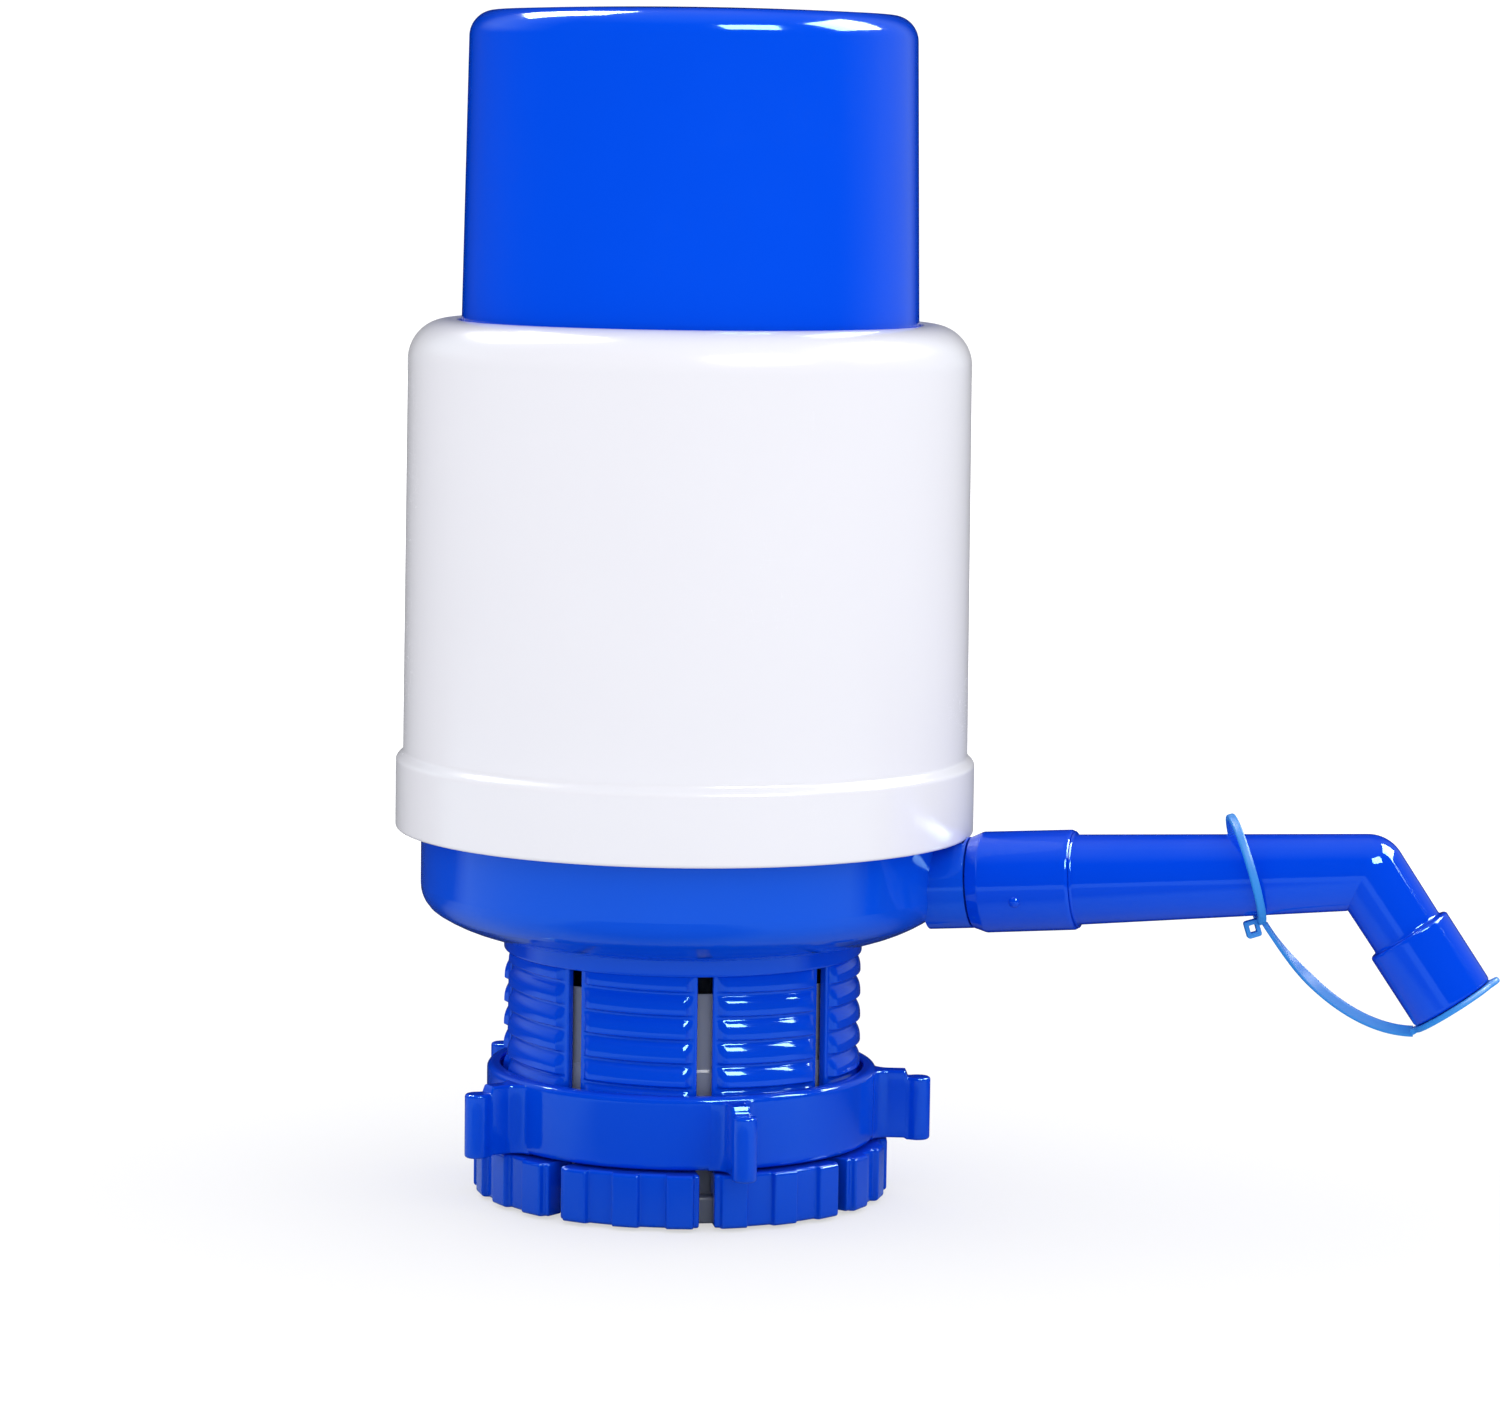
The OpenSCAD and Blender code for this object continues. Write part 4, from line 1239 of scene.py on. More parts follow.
        draw = np.concatenate([end[::-1], np.zeros(int(keep.sum())), end])
        shrunk = np.stack([inset(section, float(d)) for d in draw])
        radius, height = shrunk[..., 0], shrunk[..., 1]
        rim = ramp(section[:, 0], foot_r + 0.6, self.flange - 0.9)
        radius = radius + rises[:, None] * rim[None]
        turn = (angles / top)[:, None] * self.half_angle(radius) + number * TURN / self.slots
        skin.tube(polar(radius, turn, height))

    def build(self, finishes: Finishes) -> None:
        """Builds the fingers, the band with its tongue, and the flange, and dresses them.

        Args:
            finishes: The pump's finishes.
        """
        skin = Skin()
        for number in range(self.slots):
            self.finger(skin, number)
            self.flange_part(skin, number)
        tongue_r, tongue_rise = self.tongue
        band = [
            (self.inner, self.slot_top),
            (self.band, self.slot_top),
            (self.band, self.height),
            (self.outer, self.height),
            (self.outer, self.height + tongue_rise),
            (tongue_r, self.height + tongue_rise),
            (tongue_r, self.height),
            (self.inner, self.height),
        ]
        skin.turned(rounded(band, [0.2, 0.4, 0.15, 0.0, 0.2, 0.2, 0.0, 0.1], 5))
        collar = skin.build("neck_collar_threaded", sharp=42.0)
        finishes.settle(collar, Body.BASE, Slot.COLLAR, "neck_collar")


@dataclass
class NeckLiner:
    """The milky sleeve inside the collar, seen through the slots."""

    bore: float = 27.6
    relief_bore: float = 28.0
    foot: Pair = (31.5, 4.6)  # radius and height
    outer: float = 28.6
    outer_above: float = 28.35
    grip_z: float = 26.0
    top_z: float = 39.0

    def build(self, finishes: Finishes) -> None:
        """Builds the sleeve with its foot and its thinner upper wall, and dresses it.

        Args:
            finishes: The pump's finishes.
        """
        foot_r, foot_z = self.foot
        section = [
            (self.bore, 0.0),
            (foot_r, 0.0),
            self.foot,
            (self.outer, foot_z),
            (self.outer, self.grip_z - 0.5),
            (self.outer_above, self.grip_z),
            (self.outer_above, self.top_z),
            (self.relief_bore, self.top_z),
            (self.relief_bore, self.grip_z + 0.4),
            (self.bore, self.grip_z),
        ]
        radii = [0.3, 0.4, 0.5, 0.2, 0.2, 0.15, 0.1, 0.1, 0.1, 0.1]
        skin = Skin().turned(rounded(section, radii, 5))
        finishes.settle(skin.build("neck_liner_sleeve"), Body.BASE, Slot.CLEAR, "neck_liner")


@dataclass
class LockRing:
    """The ring that squeezes the fingers, with five wings and the lugs that run in the thread."""

    inner: float = 31.75
    outer: float = 34.1
    low: float = 9.6
    high: float = 22.2
    edge: float = 1.1
    wings: int = 5
    first_wing: float = 12.0
    web_half: float = 1.6
    root_radius: float = 3.0
    bead_radius: float = 2.1
    bead_centre: float = 41.6
    bead_low: float = 9.3
    bead_high: float = 20.4
    web_high: float = 21.6
    wing_edge: float = 0.5
    sink: float = 0.06
    wing_start: float = 32.8
    web_end: float = 39.0
    join: Pair = (39.1, 39.65)  # where the web meets the bead
    bead_start: float = 39.7
    step: Pair = (39.15, 39.75)  # where the web's height turns into the bead's
    lugs: int = 4
    lug: Four = (30.5, 32.0, 10.8, 12.8)  # inner and outer radius, low and high
    lug_half_turn: float = 10.0

    def half_width(self, x: Array) -> Array:
        """Half the wing's thickness at a distance from the axis.

        It is the web's half width, the hollow of the root's circle where the wing leaves the
        ring, and the bead's circle at its edge, joined by a soft maximum: half of
        a + b + sqrt((a - b)^2 + 0.09).

        Args:
            x: Distances from the axis.

        Returns:
            The half thicknesses.
        """
        root_y = self.web_half + self.root_radius - self.sink
        root_x = math.sqrt((self.outer + self.root_radius - self.sink) ** 2 - root_y**2)
        from_root = np.clip(root_x - x, 0.0, self.root_radius * 0.99)
        flare = root_y - np.sqrt(self.root_radius**2 - from_root**2)
        web = np.maximum(flare, self.web_half)
        bead = np.sqrt(np.clip(self.bead_radius**2 - (x - self.bead_centre) ** 2, 0.0, None))
        web = np.where(x < self.bead_centre, web, 0.0)
        both = 0.5 * (web + bead + np.sqrt((web - bead) ** 2 + 0.09))
        return np.where(x < self.bead_centre, np.where(bead > 0.0, both, web), bead)

    def wing(self, skin: Skin, turn: float) -> None:
        """Adds one wing.

        Its plan runs out along one side, round the bead and back, with its points closer
        together where the web meets the bead. At each level the plan draws in along a quarter
        circle near the top and the bottom, and the levels follow the web's and the bead's own
        ends. The ends are closed by strips from side to side.

        Args:
            skin: The skin to add to.
            turn: The wing's angle from the spout, in degrees.
        """
        start = math.acos((self.bead_centre - self.bead_start) / self.bead_radius)
        x = np.concatenate(
            [
                np.linspace(self.wing_start, self.web_end, 20),
                np.linspace(*self.join, 6),
                self.bead_centre - self.bead_radius * np.cos(np.linspace(start, math.pi, 22)),
            ]
        )
        side = np.stack([x, self.half_width(x)], axis=1)
        plan = np.concatenate([side, side[:-1][::-1] * np.array([1.0, -1.0])])
        quarter = np.linspace(0.0, QUARTER, 6)
        e = self.wing_edge
        from_sin, from_cos = e * (1.0 - np.sin(quarter)), e * (1.0 - np.cos(quarter))
        draw = np.concatenate([from_sin, np.zeros(3), from_cos])
        lift = np.concatenate([from_cos, np.zeros(3), -from_sin])
        share = np.concatenate([np.zeros(6), [0.25, 0.5, 0.75], np.ones(6)])
        step = ramp(plan[:, 0], *self.step)
        low = self.low - (self.low - self.bead_low) * step
        high = self.web_high - (self.web_high - self.bead_high) * step
        height = low + (high - low) * share[:, None] + lift[:, None]
        loops = np.stack([inset(plan, float(d)) for d in draw])
        grid = np.concatenate([loops, height[..., None]], axis=-1)
        skin.grid(turned_z(grid, turn), wrap_cols=True)
        n = len(side)
        across = np.linspace(0.0, 1.0, 7)[None, :, None]
        for row in (grid[0], grid[-1]):
            left, right = row[:n], np.concatenate([row[n:][::-1], row[n - 1 : n]])
            skin.grid(turned_z(left[:, None] * (1.0 - across) + right[:, None] * across, turn))

    def build(self, finishes: Finishes) -> None:
        """Builds the ring, its wings and the lugs inside it, and dresses them.

        Each lug is a rounded bar carried round by twice its half turn.

        Args:
            finishes: The pump's finishes.
        """
        section = box(self.inner, self.outer, self.low, self.high)
        skin = Skin().turned(rounded(section, [0.3, self.edge, self.edge, 0.3], 8), 240)
        for k in range(self.wings):
            self.wing(skin, self.first_wing + 360.0 * k / self.wings)
        bar = rounded(box(*self.lug), 0.3, 3)
        for k in range(self.lugs):
            middle = self.first_wing + 360.0 * k / self.lugs
            a = np.radians(middle + np.linspace(-self.lug_half_turn, self.lug_half_turn, 13))
            skin.tube(polar(bar[None, :, 0], a[:, None], bar[None, :, 1]))
        ring = skin.build("lock_ring_winged", sharp=42.0)
        finishes.settle(ring, Body.LOCK_RING, Slot.COLLAR, "lock_ring")


# ---------- spout, strap and dust cap ----------


@dataclass
class SpoutLine:
    """The spout's axis: straight up the rise to the elbow's corner, then down the nozzle."""

    start: Pair = (51.7, 56.5)  # distance from the pump's axis, and height
    rise: float = 4.4  # degrees that the pipe climbs
    drop: float = 55.5  # degrees that the nozzle falls
    corner_u: float = 68.0  # the corner's distance along the pipe
    fan: float = 6.8  # the share of a section's run that makes the ball

    @property
    def half_turn(self) -> float:
        """Half the elbow's angle in radians."""
        return math.radians(self.rise + self.drop) / 2.0

    @property
    def along(self) -> Array:
        """Direction of the pipe."""
        a = math.radians(self.rise)
        return np.array([math.cos(a), 0.0, math.sin(a)])

    @property
    def down(self) -> Array:
        """Direction below the pipe, square to it."""
        a = math.radians(self.rise)
        return np.array([math.sin(a), 0.0, -math.cos(a)])

    @property
    def outward(self) -> Array:
        """Direction of the nozzle."""
        a = math.radians(self.drop)
        return np.array([math.cos(a), 0.0, -math.sin(a)])

    @property
    def under(self) -> Array:
        """Direction below the nozzle, square to it."""
        a = math.radians(self.drop)
        return np.array([-math.sin(a), 0.0, -math.cos(a)])

    @property
    def origin(self) -> Array:
        """Start of the axis."""
        return np.array([self.start[0], 0.0, self.start[1]])

    @property
    def corner(self) -> Array:
        """The elbow's corner."""
        return self.origin + self.corner_u * self.along

    def nozzle(self, v: float, d: float) -> Array:
        """The point v down the nozzle from the corner and d below its axis."""
        return self.corner + v * self.outward + d * self.under

    def from_nozzle(self, v: float) -> float:
        """Distance along the section's run of the point v down the nozzle."""
        return self.corner_u + self.fan + v

    def wrapped(self, section: Array, steps: int) -> Array:
        """A half section of (run, radius) wrapped round the bent axis.

        Before the corner a point is corner + (run - corner run) along + its radius round the
        pipe, and past the fan it follows the nozzle in the same way. Within the fan the upper
        half swings about the corner, which makes a ball. The lower half stops at the mitre
        plane: a point d below the axis goes no nearer to the corner than d tan(half turn).

        Args:
            section: Rows of run and radius.
            steps: Number of points round the axis.

        Returns:
            A grid of points, round by run.
        """
        a = np.linspace(0.0, TURN, steps, endpoint=False)[:, None]
        run, radius = section[:, 0][None], section[:, 1][None]
        high = np.maximum(radius * np.cos(a), 0.0)
        low = np.maximum(-radius * np.cos(a), 0.0)
        side = (radius * np.sin(a))[..., None] * SIDEWAYS
        share = np.clip((run - self.corner_u) / self.fan, 0.0, 1.0)
        swing = math.radians(self.rise) - share * 2.0 * self.half_turn
        above = np.stack([-np.sin(swing), 0.0 * swing, np.cos(swing)], axis=-1)
        mitre = low * math.tan(self.half_turn)
        before = np.minimum(run - self.corner_u, 0.0)
        after = np.maximum(run - self.corner_u - self.fan, 0.0)
        first = np.minimum(before, np.where(low > 0.0, -mitre, 0.0))[..., None] * self.along
        last = np.maximum(after, mitre)[..., None] * self.outward
        on_pipe = first + low[..., None] * self.down
        on_nozzle = last + low[..., None] * self.under
        far = np.broadcast_to((share > 0.5)[..., None], on_pipe.shape)
        return self.corner + high[..., None] * above + side + np.where(far, on_nozzle, on_pipe)


@dataclass
class Spout:
    """The side spout: a sleeve with a cone at its start, tapered pipe, elbow and nozzle."""

    line: SpoutLine = field(default_factory=SpoutLine)
    boss: float = 7.85
    sleeve: float = 8.7
    sleeve_length: float = 18.1
    pipe: float = 7.75
    pipe_end: float = 6.4
    tip: float = 7.5
    tip_v: Pair = (12.4, 26.2)  # start and end of the tip's sleeve, down the nozzle
    bore: float = 4.9
    mouth: float = 5.88
    mouth_depth: float = 7.0
    cone: float = 2.2
    socket: Pair = (14.0, 6.5)  # depth and radius
    nub: float = 1.1
    nub_run: float = 8.6
    nub_out: float = 8.2
    nub_turn: float = -73.0

    def outline(self) -> Array:
        """The closed half section, out along the outside and back along the bore.

        Returns:
            Rows of run along the axis and radius.
        """
        socket_depth, socket_r = self.socket
        tip_low, tip_high = (self.line.from_nozzle(v) for v in self.tip_v)
        corner, fan_end = self.line.corner_u, self.line.from_nozzle(0.0)
        return rounded(
            [
                (0.0, self.boss),
                (self.cone, self.sleeve),
                (self.sleeve_length, self.sleeve - 0.1),
                (self.sleeve_length, self.pipe),
                (corner, self.pipe_end + 0.03),
                (fan_end, self.pipe_end + 0.03),
                (tip_low, self.pipe_end - 0.1),
                (tip_low, self.tip - 0.05),
                (tip_high, self.tip - 0.1),
                (tip_high, self.mouth),
                (tip_high - self.mouth_depth, self.mouth),
                (tip_high - self.mouth_depth, self.bore),
                (socket_depth, self.bore),
                (socket_depth, socket_r),
                (0.0, socket_r),
            ],
            [0.25, 1.2, 0.75, 0.45, 0.0, 0.0, 0.5, 0.6, 0.6, 0.25, 0.2, 0.2, 0.2, 0.2, 0.2],
            7,
        )

    def build(self, finishes: Finishes) -> None:
        """Builds the spout and the small round nub on its sleeve, and dresses them.

        Args:
            finishes: The pump's finishes.
        """
        line = self.line
        grid = line.wrapped(densified(self.outline(), 0.6), 120)
        skin = Skin().grid(grid, wrap_rows=True, wrap_cols=True)
        ball = arc_points((0.0, 0.0), self.nub, -90.0, 90.0, 11)
        ball[:, 0] = np.abs(ball[:, 0])
        side = math.radians(self.nub_turn)
        out = math.cos(side) * line.down + math.sin(side) * SIDEWAYS
        nub = lathed(ball, 24) @ np.stack([line.along, np.cross(out, line.along), out])
        at = line.origin + self.nub_run * line.along + self.nub_out * out
        skin.grid(at + nub, wrap_rows=True)
        finishes.settle(skin.build("spout_bent", sharp=30.0), Body.SPOUT, Slot.SPOUT, "spout")


@dataclass
class StrapRing:
    """The light ring round the pipe, narrower than its eye, with the small square eye."""

    line: SpoutLine = field(default_factory=SpoutLine)
    at: float = 47.3
    raised: float = 1.0
    inner: float = 8.5
    wall: float = 1.3
    width: float = 1.9
    band: float = 1.4
    yaw: float = 16.0
    lean: float = 13.0
    eye: Pair = (3.0, 2.5)  # its reach from the ring's inside, and its length along the pipe
    eye_start: float = 2.0
    eye_hole: Four = (0.8, 2.1, -1.3, -0.2)  # from and to each way
    eye_half: float = 1.2

    def axes(self) -> Array:
        """The ring's axes, which start as the pipe's low side, sideways and the pipe's direction.

        They are turned about the first by the yaw and then about the second by the lean.

        Returns:
            The three axes, one row each.
        """
        yaw, lean = math.radians(-self.yaw), math.radians(-self.lean)
        c, s = math.cos(yaw), math.sin(yaw)
        about_x = np.array([[1.0, 0.0, 0.0], [0.0, c, -s], [0.0, s, c]])
        c, s = math.cos(lean), math.sin(lean)
        about_y = np.array([[c, 0.0, s], [0.0, 1.0, 0.0], [-s, 0.0, c]])
        local = np.stack([self.line.down, SIDEWAYS, self.line.along])
        return (about_y @ about_x).T @ local

    def build(self, finishes: Finishes) -> None:
        """Builds the ring and its eye, and dresses them.

        The eye is a frame between two rounded squares: each point of its section is a mix of
        the inner and the outer square at the same place.

        Args:
            finishes: The pump's finishes.
        """
        w, b, low = self.width / 2.0, self.band / 2.0, self.inner
        section = box(low, low + self.wall, -b, b)
        skin = Skin().turned(rounded(section, 0.4, 6), 120)
        reach, drop = self.eye
        left, right, under, over = self.eye_hole
        foot = -w - self.eye_start
        outer = rounded(box(low, low + reach, foot, foot + drop), 0.45, 5)
        hole = rounded(box(low + left, low + right, -w + under, -w + over), 0.15, 5)
        mix = rounded(box(0.0, 1.0, -self.eye_half, self.eye_half), 0.2, 4)
        t = mix[None, :, :1]
        frame = hole[:, None] * (1.0 - t) + outer[:, None] * t
        side = np.broadcast_to(mix[None, :, 1], frame.shape[:2])
        grid = np.stack([frame[..., 0], side, frame[..., 1]], axis=-1)
        skin.grid(grid, wrap_rows=True, wrap_cols=True)
        line = self.line
        skin.placed(line.origin + self.at * line.along - self.raised * line.down, *self.axes())
        finishes.settle(skin.build("strap_ring_eyed"), Body.SPOUT, Slot.STRAP, "strap_ring")


@dataclass
class CapStrap:
    """The strap from the ring's eye to the dust cap: a ribbon that turns from on edge to flat."""

    line: SpoutLine = field(default_factory=SpoutLine)
    ring: StrapRing = field(default_factory=StrapRing)
    slope: float = -56.0
    end_slope: float = 2.0
    width: float = 1.9
    thickness: float = 0.85
    end_v: float = 26.8
    end_d: float = 8.3
    twist: float = 70.0
    start_width: float = 0.75
    start_back: float = 0.3
    start_down: float = 0.4

    def build(self, finishes: Finishes) -> None:
        """Builds the ribbon between the ring and the cap, and dresses it.

        Its middle line is a cubic curve between two points with two given slopes, from the
        ring's low side to the cap's anchor. Its section, a rounded bar, turns from on edge to
        nearly flat over its first half.

        Args:
            finishes: The pump's finishes.
        """
        lean = math.radians(self.ring.lean)
        low = self.ring.inner + self.ring.wall / 2.0
        u = self.ring.at + low * math.sin(lean) + self.ring.width / 2.0 - self.start_back
        d = low * math.cos(lean) - self.ring.raised + self.start_down
        start = self.line.origin + u * self.line.along + d * self.line.down
        end = self.line.nozzle(self.end_v, self.end_d)
        run = end - start
        reach = float(np.linalg.norm(run))
        s = np.linspace(0.0, 1.0, 72)
        t = s[:, None]
        ways = np.radians([self.slope, self.end_slope])
        leave, arrive = (reach * np.array([math.cos(w), 0.0, math.sin(w)]) for w in ways)
        middle = (
            start * (1.0 - t) ** 2 * (1.0 + 2.0 * t)
            + end * t * t * (3.0 - 2.0 * t)
            + leave * t * (1.0 - t) ** 2
            - arrive * t * t * (1.0 - t)
        )
        along = np.gradient(middle, s, axis=0)
        a = np.arctan2(along[:, 2], along[:, 0])
        inward = np.stack([-np.sin(a), 0.0 * a, np.cos(a)], axis=1)
        side = np.broadcast_to(SIDEWAYS, inward.shape)
        twist = math.radians(self.twist) * ramp(s, 0.05, 0.5)[:, None]
        across = np.cos(twist) * side + np.sin(twist) * inward
        up = -np.sin(twist) * side + np.cos(twist) * inward
        w, t = self.width / 2.0, self.thickness / 2.0
        section = rounded(box(-w, w, -t, t), 0.3, 5)
        grow = self.start_width + (1.0 - self.start_width) * ramp(s, 0.0, 0.4)[:, None]
        piece = Skin().tube(swept(middle, across * grow, up, section)).build("cap_strap_ribbon")
        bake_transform(piece)
        finishes.dress_new(piece, Slot.STRAP, "cap_strap")


@dataclass
class DustCap:
    """The light cap on the nozzle: a disc with its pull tab and strap anchor, and a hollow plug."""

    line: SpoutLine = field(default_factory=SpoutLine)
    at_v: float = 26.3
    disc: float = 7.8
    thickness: float = 1.0
    edge: float = 0.35
    tab_radius: float = 2.25
    tab_reach: float = 8.9
    anchor_half: float = 1.2
    anchor_reach: float = 8.6
    plug: float = 5.8
    plug_wall: float = 1.2
    depth: float = 5.0

    def rim(self, a: Array) -> Array:
        """The disc's outline: at each angle the largest radius of disc, tab circle and anchor bar.

        Args:
            a: Angles in radians.

        Returns:
            The radii.
        """
        middle = self.tab_reach - self.tab_radius
        across = middle * np.sin(a - math.pi)
        tab = np.where(
            (np.abs(across) < self.tab_radius) & (np.cos(a) < 0.0),
            -middle * np.cos(a) + np.sqrt(np.clip(self.tab_radius**2 - across**2, 0.0, None)),
            0.0,
        )
        c, s = np.maximum(np.cos(a), 1e-6), np.maximum(np.abs(np.sin(a)), 1e-6)
        bar = np.minimum(self.anchor_reach / c, self.anchor_half / s)
        bar = np.where(np.cos(a) > 0.5, bar, 0.0)
        return np.maximum(np.maximum(self.disc, tab), np.where(bar > self.disc, bar, 0.0))

    def build(self, finishes: Finishes) -> None:
        """Builds the disc and its plug, and dresses them.

        The disc is a grid of angle by section: the section runs from the centre out along
        the inner face, round the edge and back along the outer face.

        Args:
            finishes: The pump's finishes.
        """
        a = np.linspace(0.0, TURN, 180, endpoint=False)
        e = self.edge
        top = self.thickness
        section = np.concatenate(
            [
                np.array([[-1.0, 0.0], [-0.4, 0.0], [-2.0 * e, 0.0]]),
                arc_points((-e, e), e, -90.0, 0.0, 6),
                arc_points((-e, top - e), e, 0.0, 90.0, 6),
                np.array([[-2.0 * e, top], [-0.4, top], [-1.0, top]]),
            ]
        )
        inner = np.array([0.0, 0.6] + [1.0] * (len(section) - 4) + [0.6, 0.0])
        edge_in = np.where(inner < 1.0, 0.0, section[:, 0])
        radius = self.rim(a)[:, None] * inner[None] + edge_in[None]
        skin = Skin().grid(polar(radius, a[:, None], section[None, :, 1]), wrap_rows=True)
        plug = [
            (self.plug - self.plug_wall, 0.5),
            (self.plug - self.plug_wall, -self.depth),
            (self.plug - 0.3, -self.depth),
            (self.plug, -self.depth + 1.0),
            (self.plug, 0.5),
        ]
        skin.turned(rounded(plug, [0.0, 0.25, 0.3, 0.4, 0.0], 4), 96)
        line = self.line
        skin.placed(line.nozzle(self.at_v, 0.0), line.under, SIDEWAYS, line.outward)
        finishes.settle(skin.build("dust_cap_tabbed"), Body.DUST_CAP, Slot.STRAP, "dust_cap")


# ---------- bellows, spring, valves and seals ----------


def close_up(piece: bpy.types.Object) -> None:
    """Gives a piece between the base and the cap a mesh of its own.

    Args:
        piece: The piece.
    """
    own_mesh(piece)


@dataclass
class Bellows:
    """The folded air bag, whose folds close up as the cap goes down."""

    inner: float = 28.5
    outer: float = 34.5
    wall: float = 1.2
    folds: int = 12
    low: float = 68.0
    high: float = 195.5
    foot_z: float = 66.5
    top_z: float = 197.0
    foot_r: float = 43.7
    bore: float = 22.0
    fold_round: float = 0.9

    def side(self, offset: float) -> Array:
        """One side of the folds: a zigzag between the two radii, with rounded peaks and valleys.

        The outline is closed well inside the bag to be rounded, and opened again.

        Args:
            offset: How far the side stands out from the wall's inner one.

        Returns:
            Rows of radius and height, going up.
        """
        z = np.linspace(self.low, self.high, 2 * self.folds + 1)
        r = np.where(np.arange(len(z)) % 2 == 0, self.inner, self.outer - self.wall) + offset
        away = 0.5 * self.bore
        zigzag = [*zip(r.tolist(), z.tolist()), (away, self.high), (away, self.low)]
        line = rounded(zigzag, [0.0] + [self.fold_round] * (len(z) - 2) + [0.0] * 3, 4)
        return line[line[:, 0] > away + 1.0]

    def build(self, finishes: Finishes) -> None:
        """Builds the bag, dresses it and gives it a mesh of its own.

        Args:
            finishes: The pump's finishes.
        """
        foot = [(self.inner, self.foot_z), (self.foot_r, self.foot_z), (self.foot_r, self.low)]
        top = [
            (self.inner + self.wall, self.top_z),
            (self.bore, self.top_z),
            (self.bore, self.high),
        ]
        outline = np.concatenate([foot, self.side(self.wall), top, self.side(0.0)[::-1]])
        piece = Skin().turned(distinct(outline), 120).build("bellows_folded", sharp=60.0)
        finishes.settle(piece, Body.BASE, Slot.CLEAR, "bellows")
        close_up(piece)


@dataclass
class ReturnSpring:
    """The wire coil inside the bellows, with closed end turns."""

    radius: float = 20.0
    wire: float = 1.0
    turns: int = 13
    low: float = 66.8
    high: float = 192.7
    seat: float = 66.5
    crown: float = 193.0
    gap: float = 0.5
    steps: int = 56

    def build(self, finishes: Finishes) -> None:
        """Builds the coil, dresses it and gives it a mesh of its own.

        A point of its middle line is at radius x (cos, sin) of its turn, and climbs slowly in
        the first and the last turn and evenly between them.

        Args:
            finishes: The pump's finishes.
        """
        t = np.linspace(0.0, self.turns, self.turns * self.steps + 1)
        span = self.high - self.low - 2.0 * self.wire
        close = 2.0 * self.wire + self.gap
        ends = [0.0, 1.0, self.turns - 1.0, self.turns]
        z = self.low + self.wire + np.interp(t, ends, [0.0, close, span - close, span])
        a = TURN * t
        out = np.stack([np.cos(a), np.sin(a), 0.0 * a], axis=1)
        up = np.broadcast_to(UP, out.shape)
        b = np.linspace(0.0, TURN, 12, endpoint=False)
        section = self.wire * 0.99 * np.stack([np.cos(b), np.sin(b)], axis=1)
        middle = self.radius * out + z[:, None] * up
        skin = Skin().tube(swept(middle, out, up, section))
        piece = skin.build("return_spring_coil", sharp=50.0)
        finishes.settle(piece, Body.BASE, Slot.STEEL, "return_spring")
        close_up(piece)


@dataclass
class AirValves:
    """The two soft mushroom valves, each under its plate."""

    radius: float = 7.5
    thickness: float = 1.0
    stem: float = 1.5
    plate: float = 2.5
    inlet_z: float = 193.0
    outlet_z: float = 64.0

    def outline(self) -> Array:
        """The closed half section: soft flap, stem through the plate, and knob above it.

        Returns:
            Rows of radius and height over the plate's lower face.
        """
        t, s, plate = self.thickness, self.stem, self.plate
        return rounded(
            [
                (0.0, -t - 0.5),
                (s + 1.0, -t - 0.5),
                (self.radius, -t / 3.0),
                (self.radius, 0.0),
                (s, 0.0),
                (s, plate + 0.2),
                (s + 0.5, plate + 0.2),
                (s + 0.5, plate + 1.0),
                (s - 0.5, plate + 2.4),
                (0.0, plate + 2.4),
            ],
            [0.0, 0.3, 0.12, 0.1, 0.2, 0.1, 0.15, 0.25, 0.3, 0.0],
            4,
        )

    def build(self, finishes: Finishes) -> None:
        """Builds both valves and dresses them.

        Args:
            finishes: The pump's finishes.
        """
        for node, body, z in (
            ("inlet_valve", Body.PLUNGER, self.inlet_z),
            ("outlet_valve", Body.BASE, self.outlet_z),
        ):
            skin = Skin().turned(self.outline() + np.array([0.0, z]), 72)
            finishes.settle(skin.build(f"{node}_flap"), body, Slot.SEAL, node)


@dataclass
class Seals:
    """Flat gaskets and round seals."""

    line: SpoutLine = field(default_factory=SpoutLine)
    seat: Four = (41.7, 43.7, 63.2, 64.0)  # inner and outer radius, low and high
    neck: Four = (19.5, 28.2, 42.8, 45.3)
    edge: float = 0.35
    connector: Pair = (7.3, 44.6)  # the section's centre: radius and height
    connector_half: float = 0.7
    spigot: Pair = (5.77, 0.0)
    spigot_half: float = 0.65
    spigot_run: float = 5.0

    @staticmethod
    def round_seal(centre: Pair, half: float) -> Skin:
        """A ring with a round section, its centre given as radius and height."""
        return Skin().turned(distinct(arc_points(centre, half, 0.0, 345.0, 24)), 72)

    def build(self, finishes: Finishes) -> None:
        """Builds the two flat gaskets and the two round seals, and dresses them.

        Args:
            finishes: The pump's finishes.
        """
        for node, sizes in (("seat_gasket", self.seat), ("neck_gasket", self.neck)):
            low, high = sizes[2:]
            edge = min(self.edge, (high - low) / 3.0)
            skin = Skin().turned(rounded(box(*sizes), edge, 5), 144)
            finishes.settle(skin.build(f"{node}_flat"), Body.BASE, Slot.SEAL, node)
        seal = self.round_seal(self.connector, self.connector_half).build("connector_seal_round")
        finishes.settle(seal, Body.BASE, Slot.SEAL, "connector_seal")
        line = self.line
        skin = self.round_seal(self.spigot, self.spigot_half)
        skin.placed(line.origin + self.spigot_run * line.along, line.down, SIDEWAYS, line.along)
        finishes.settle(skin.build("spout_seal_round"), Body.BASE, Slot.SEAL, "spout_seal")


# ---------- studio ----------


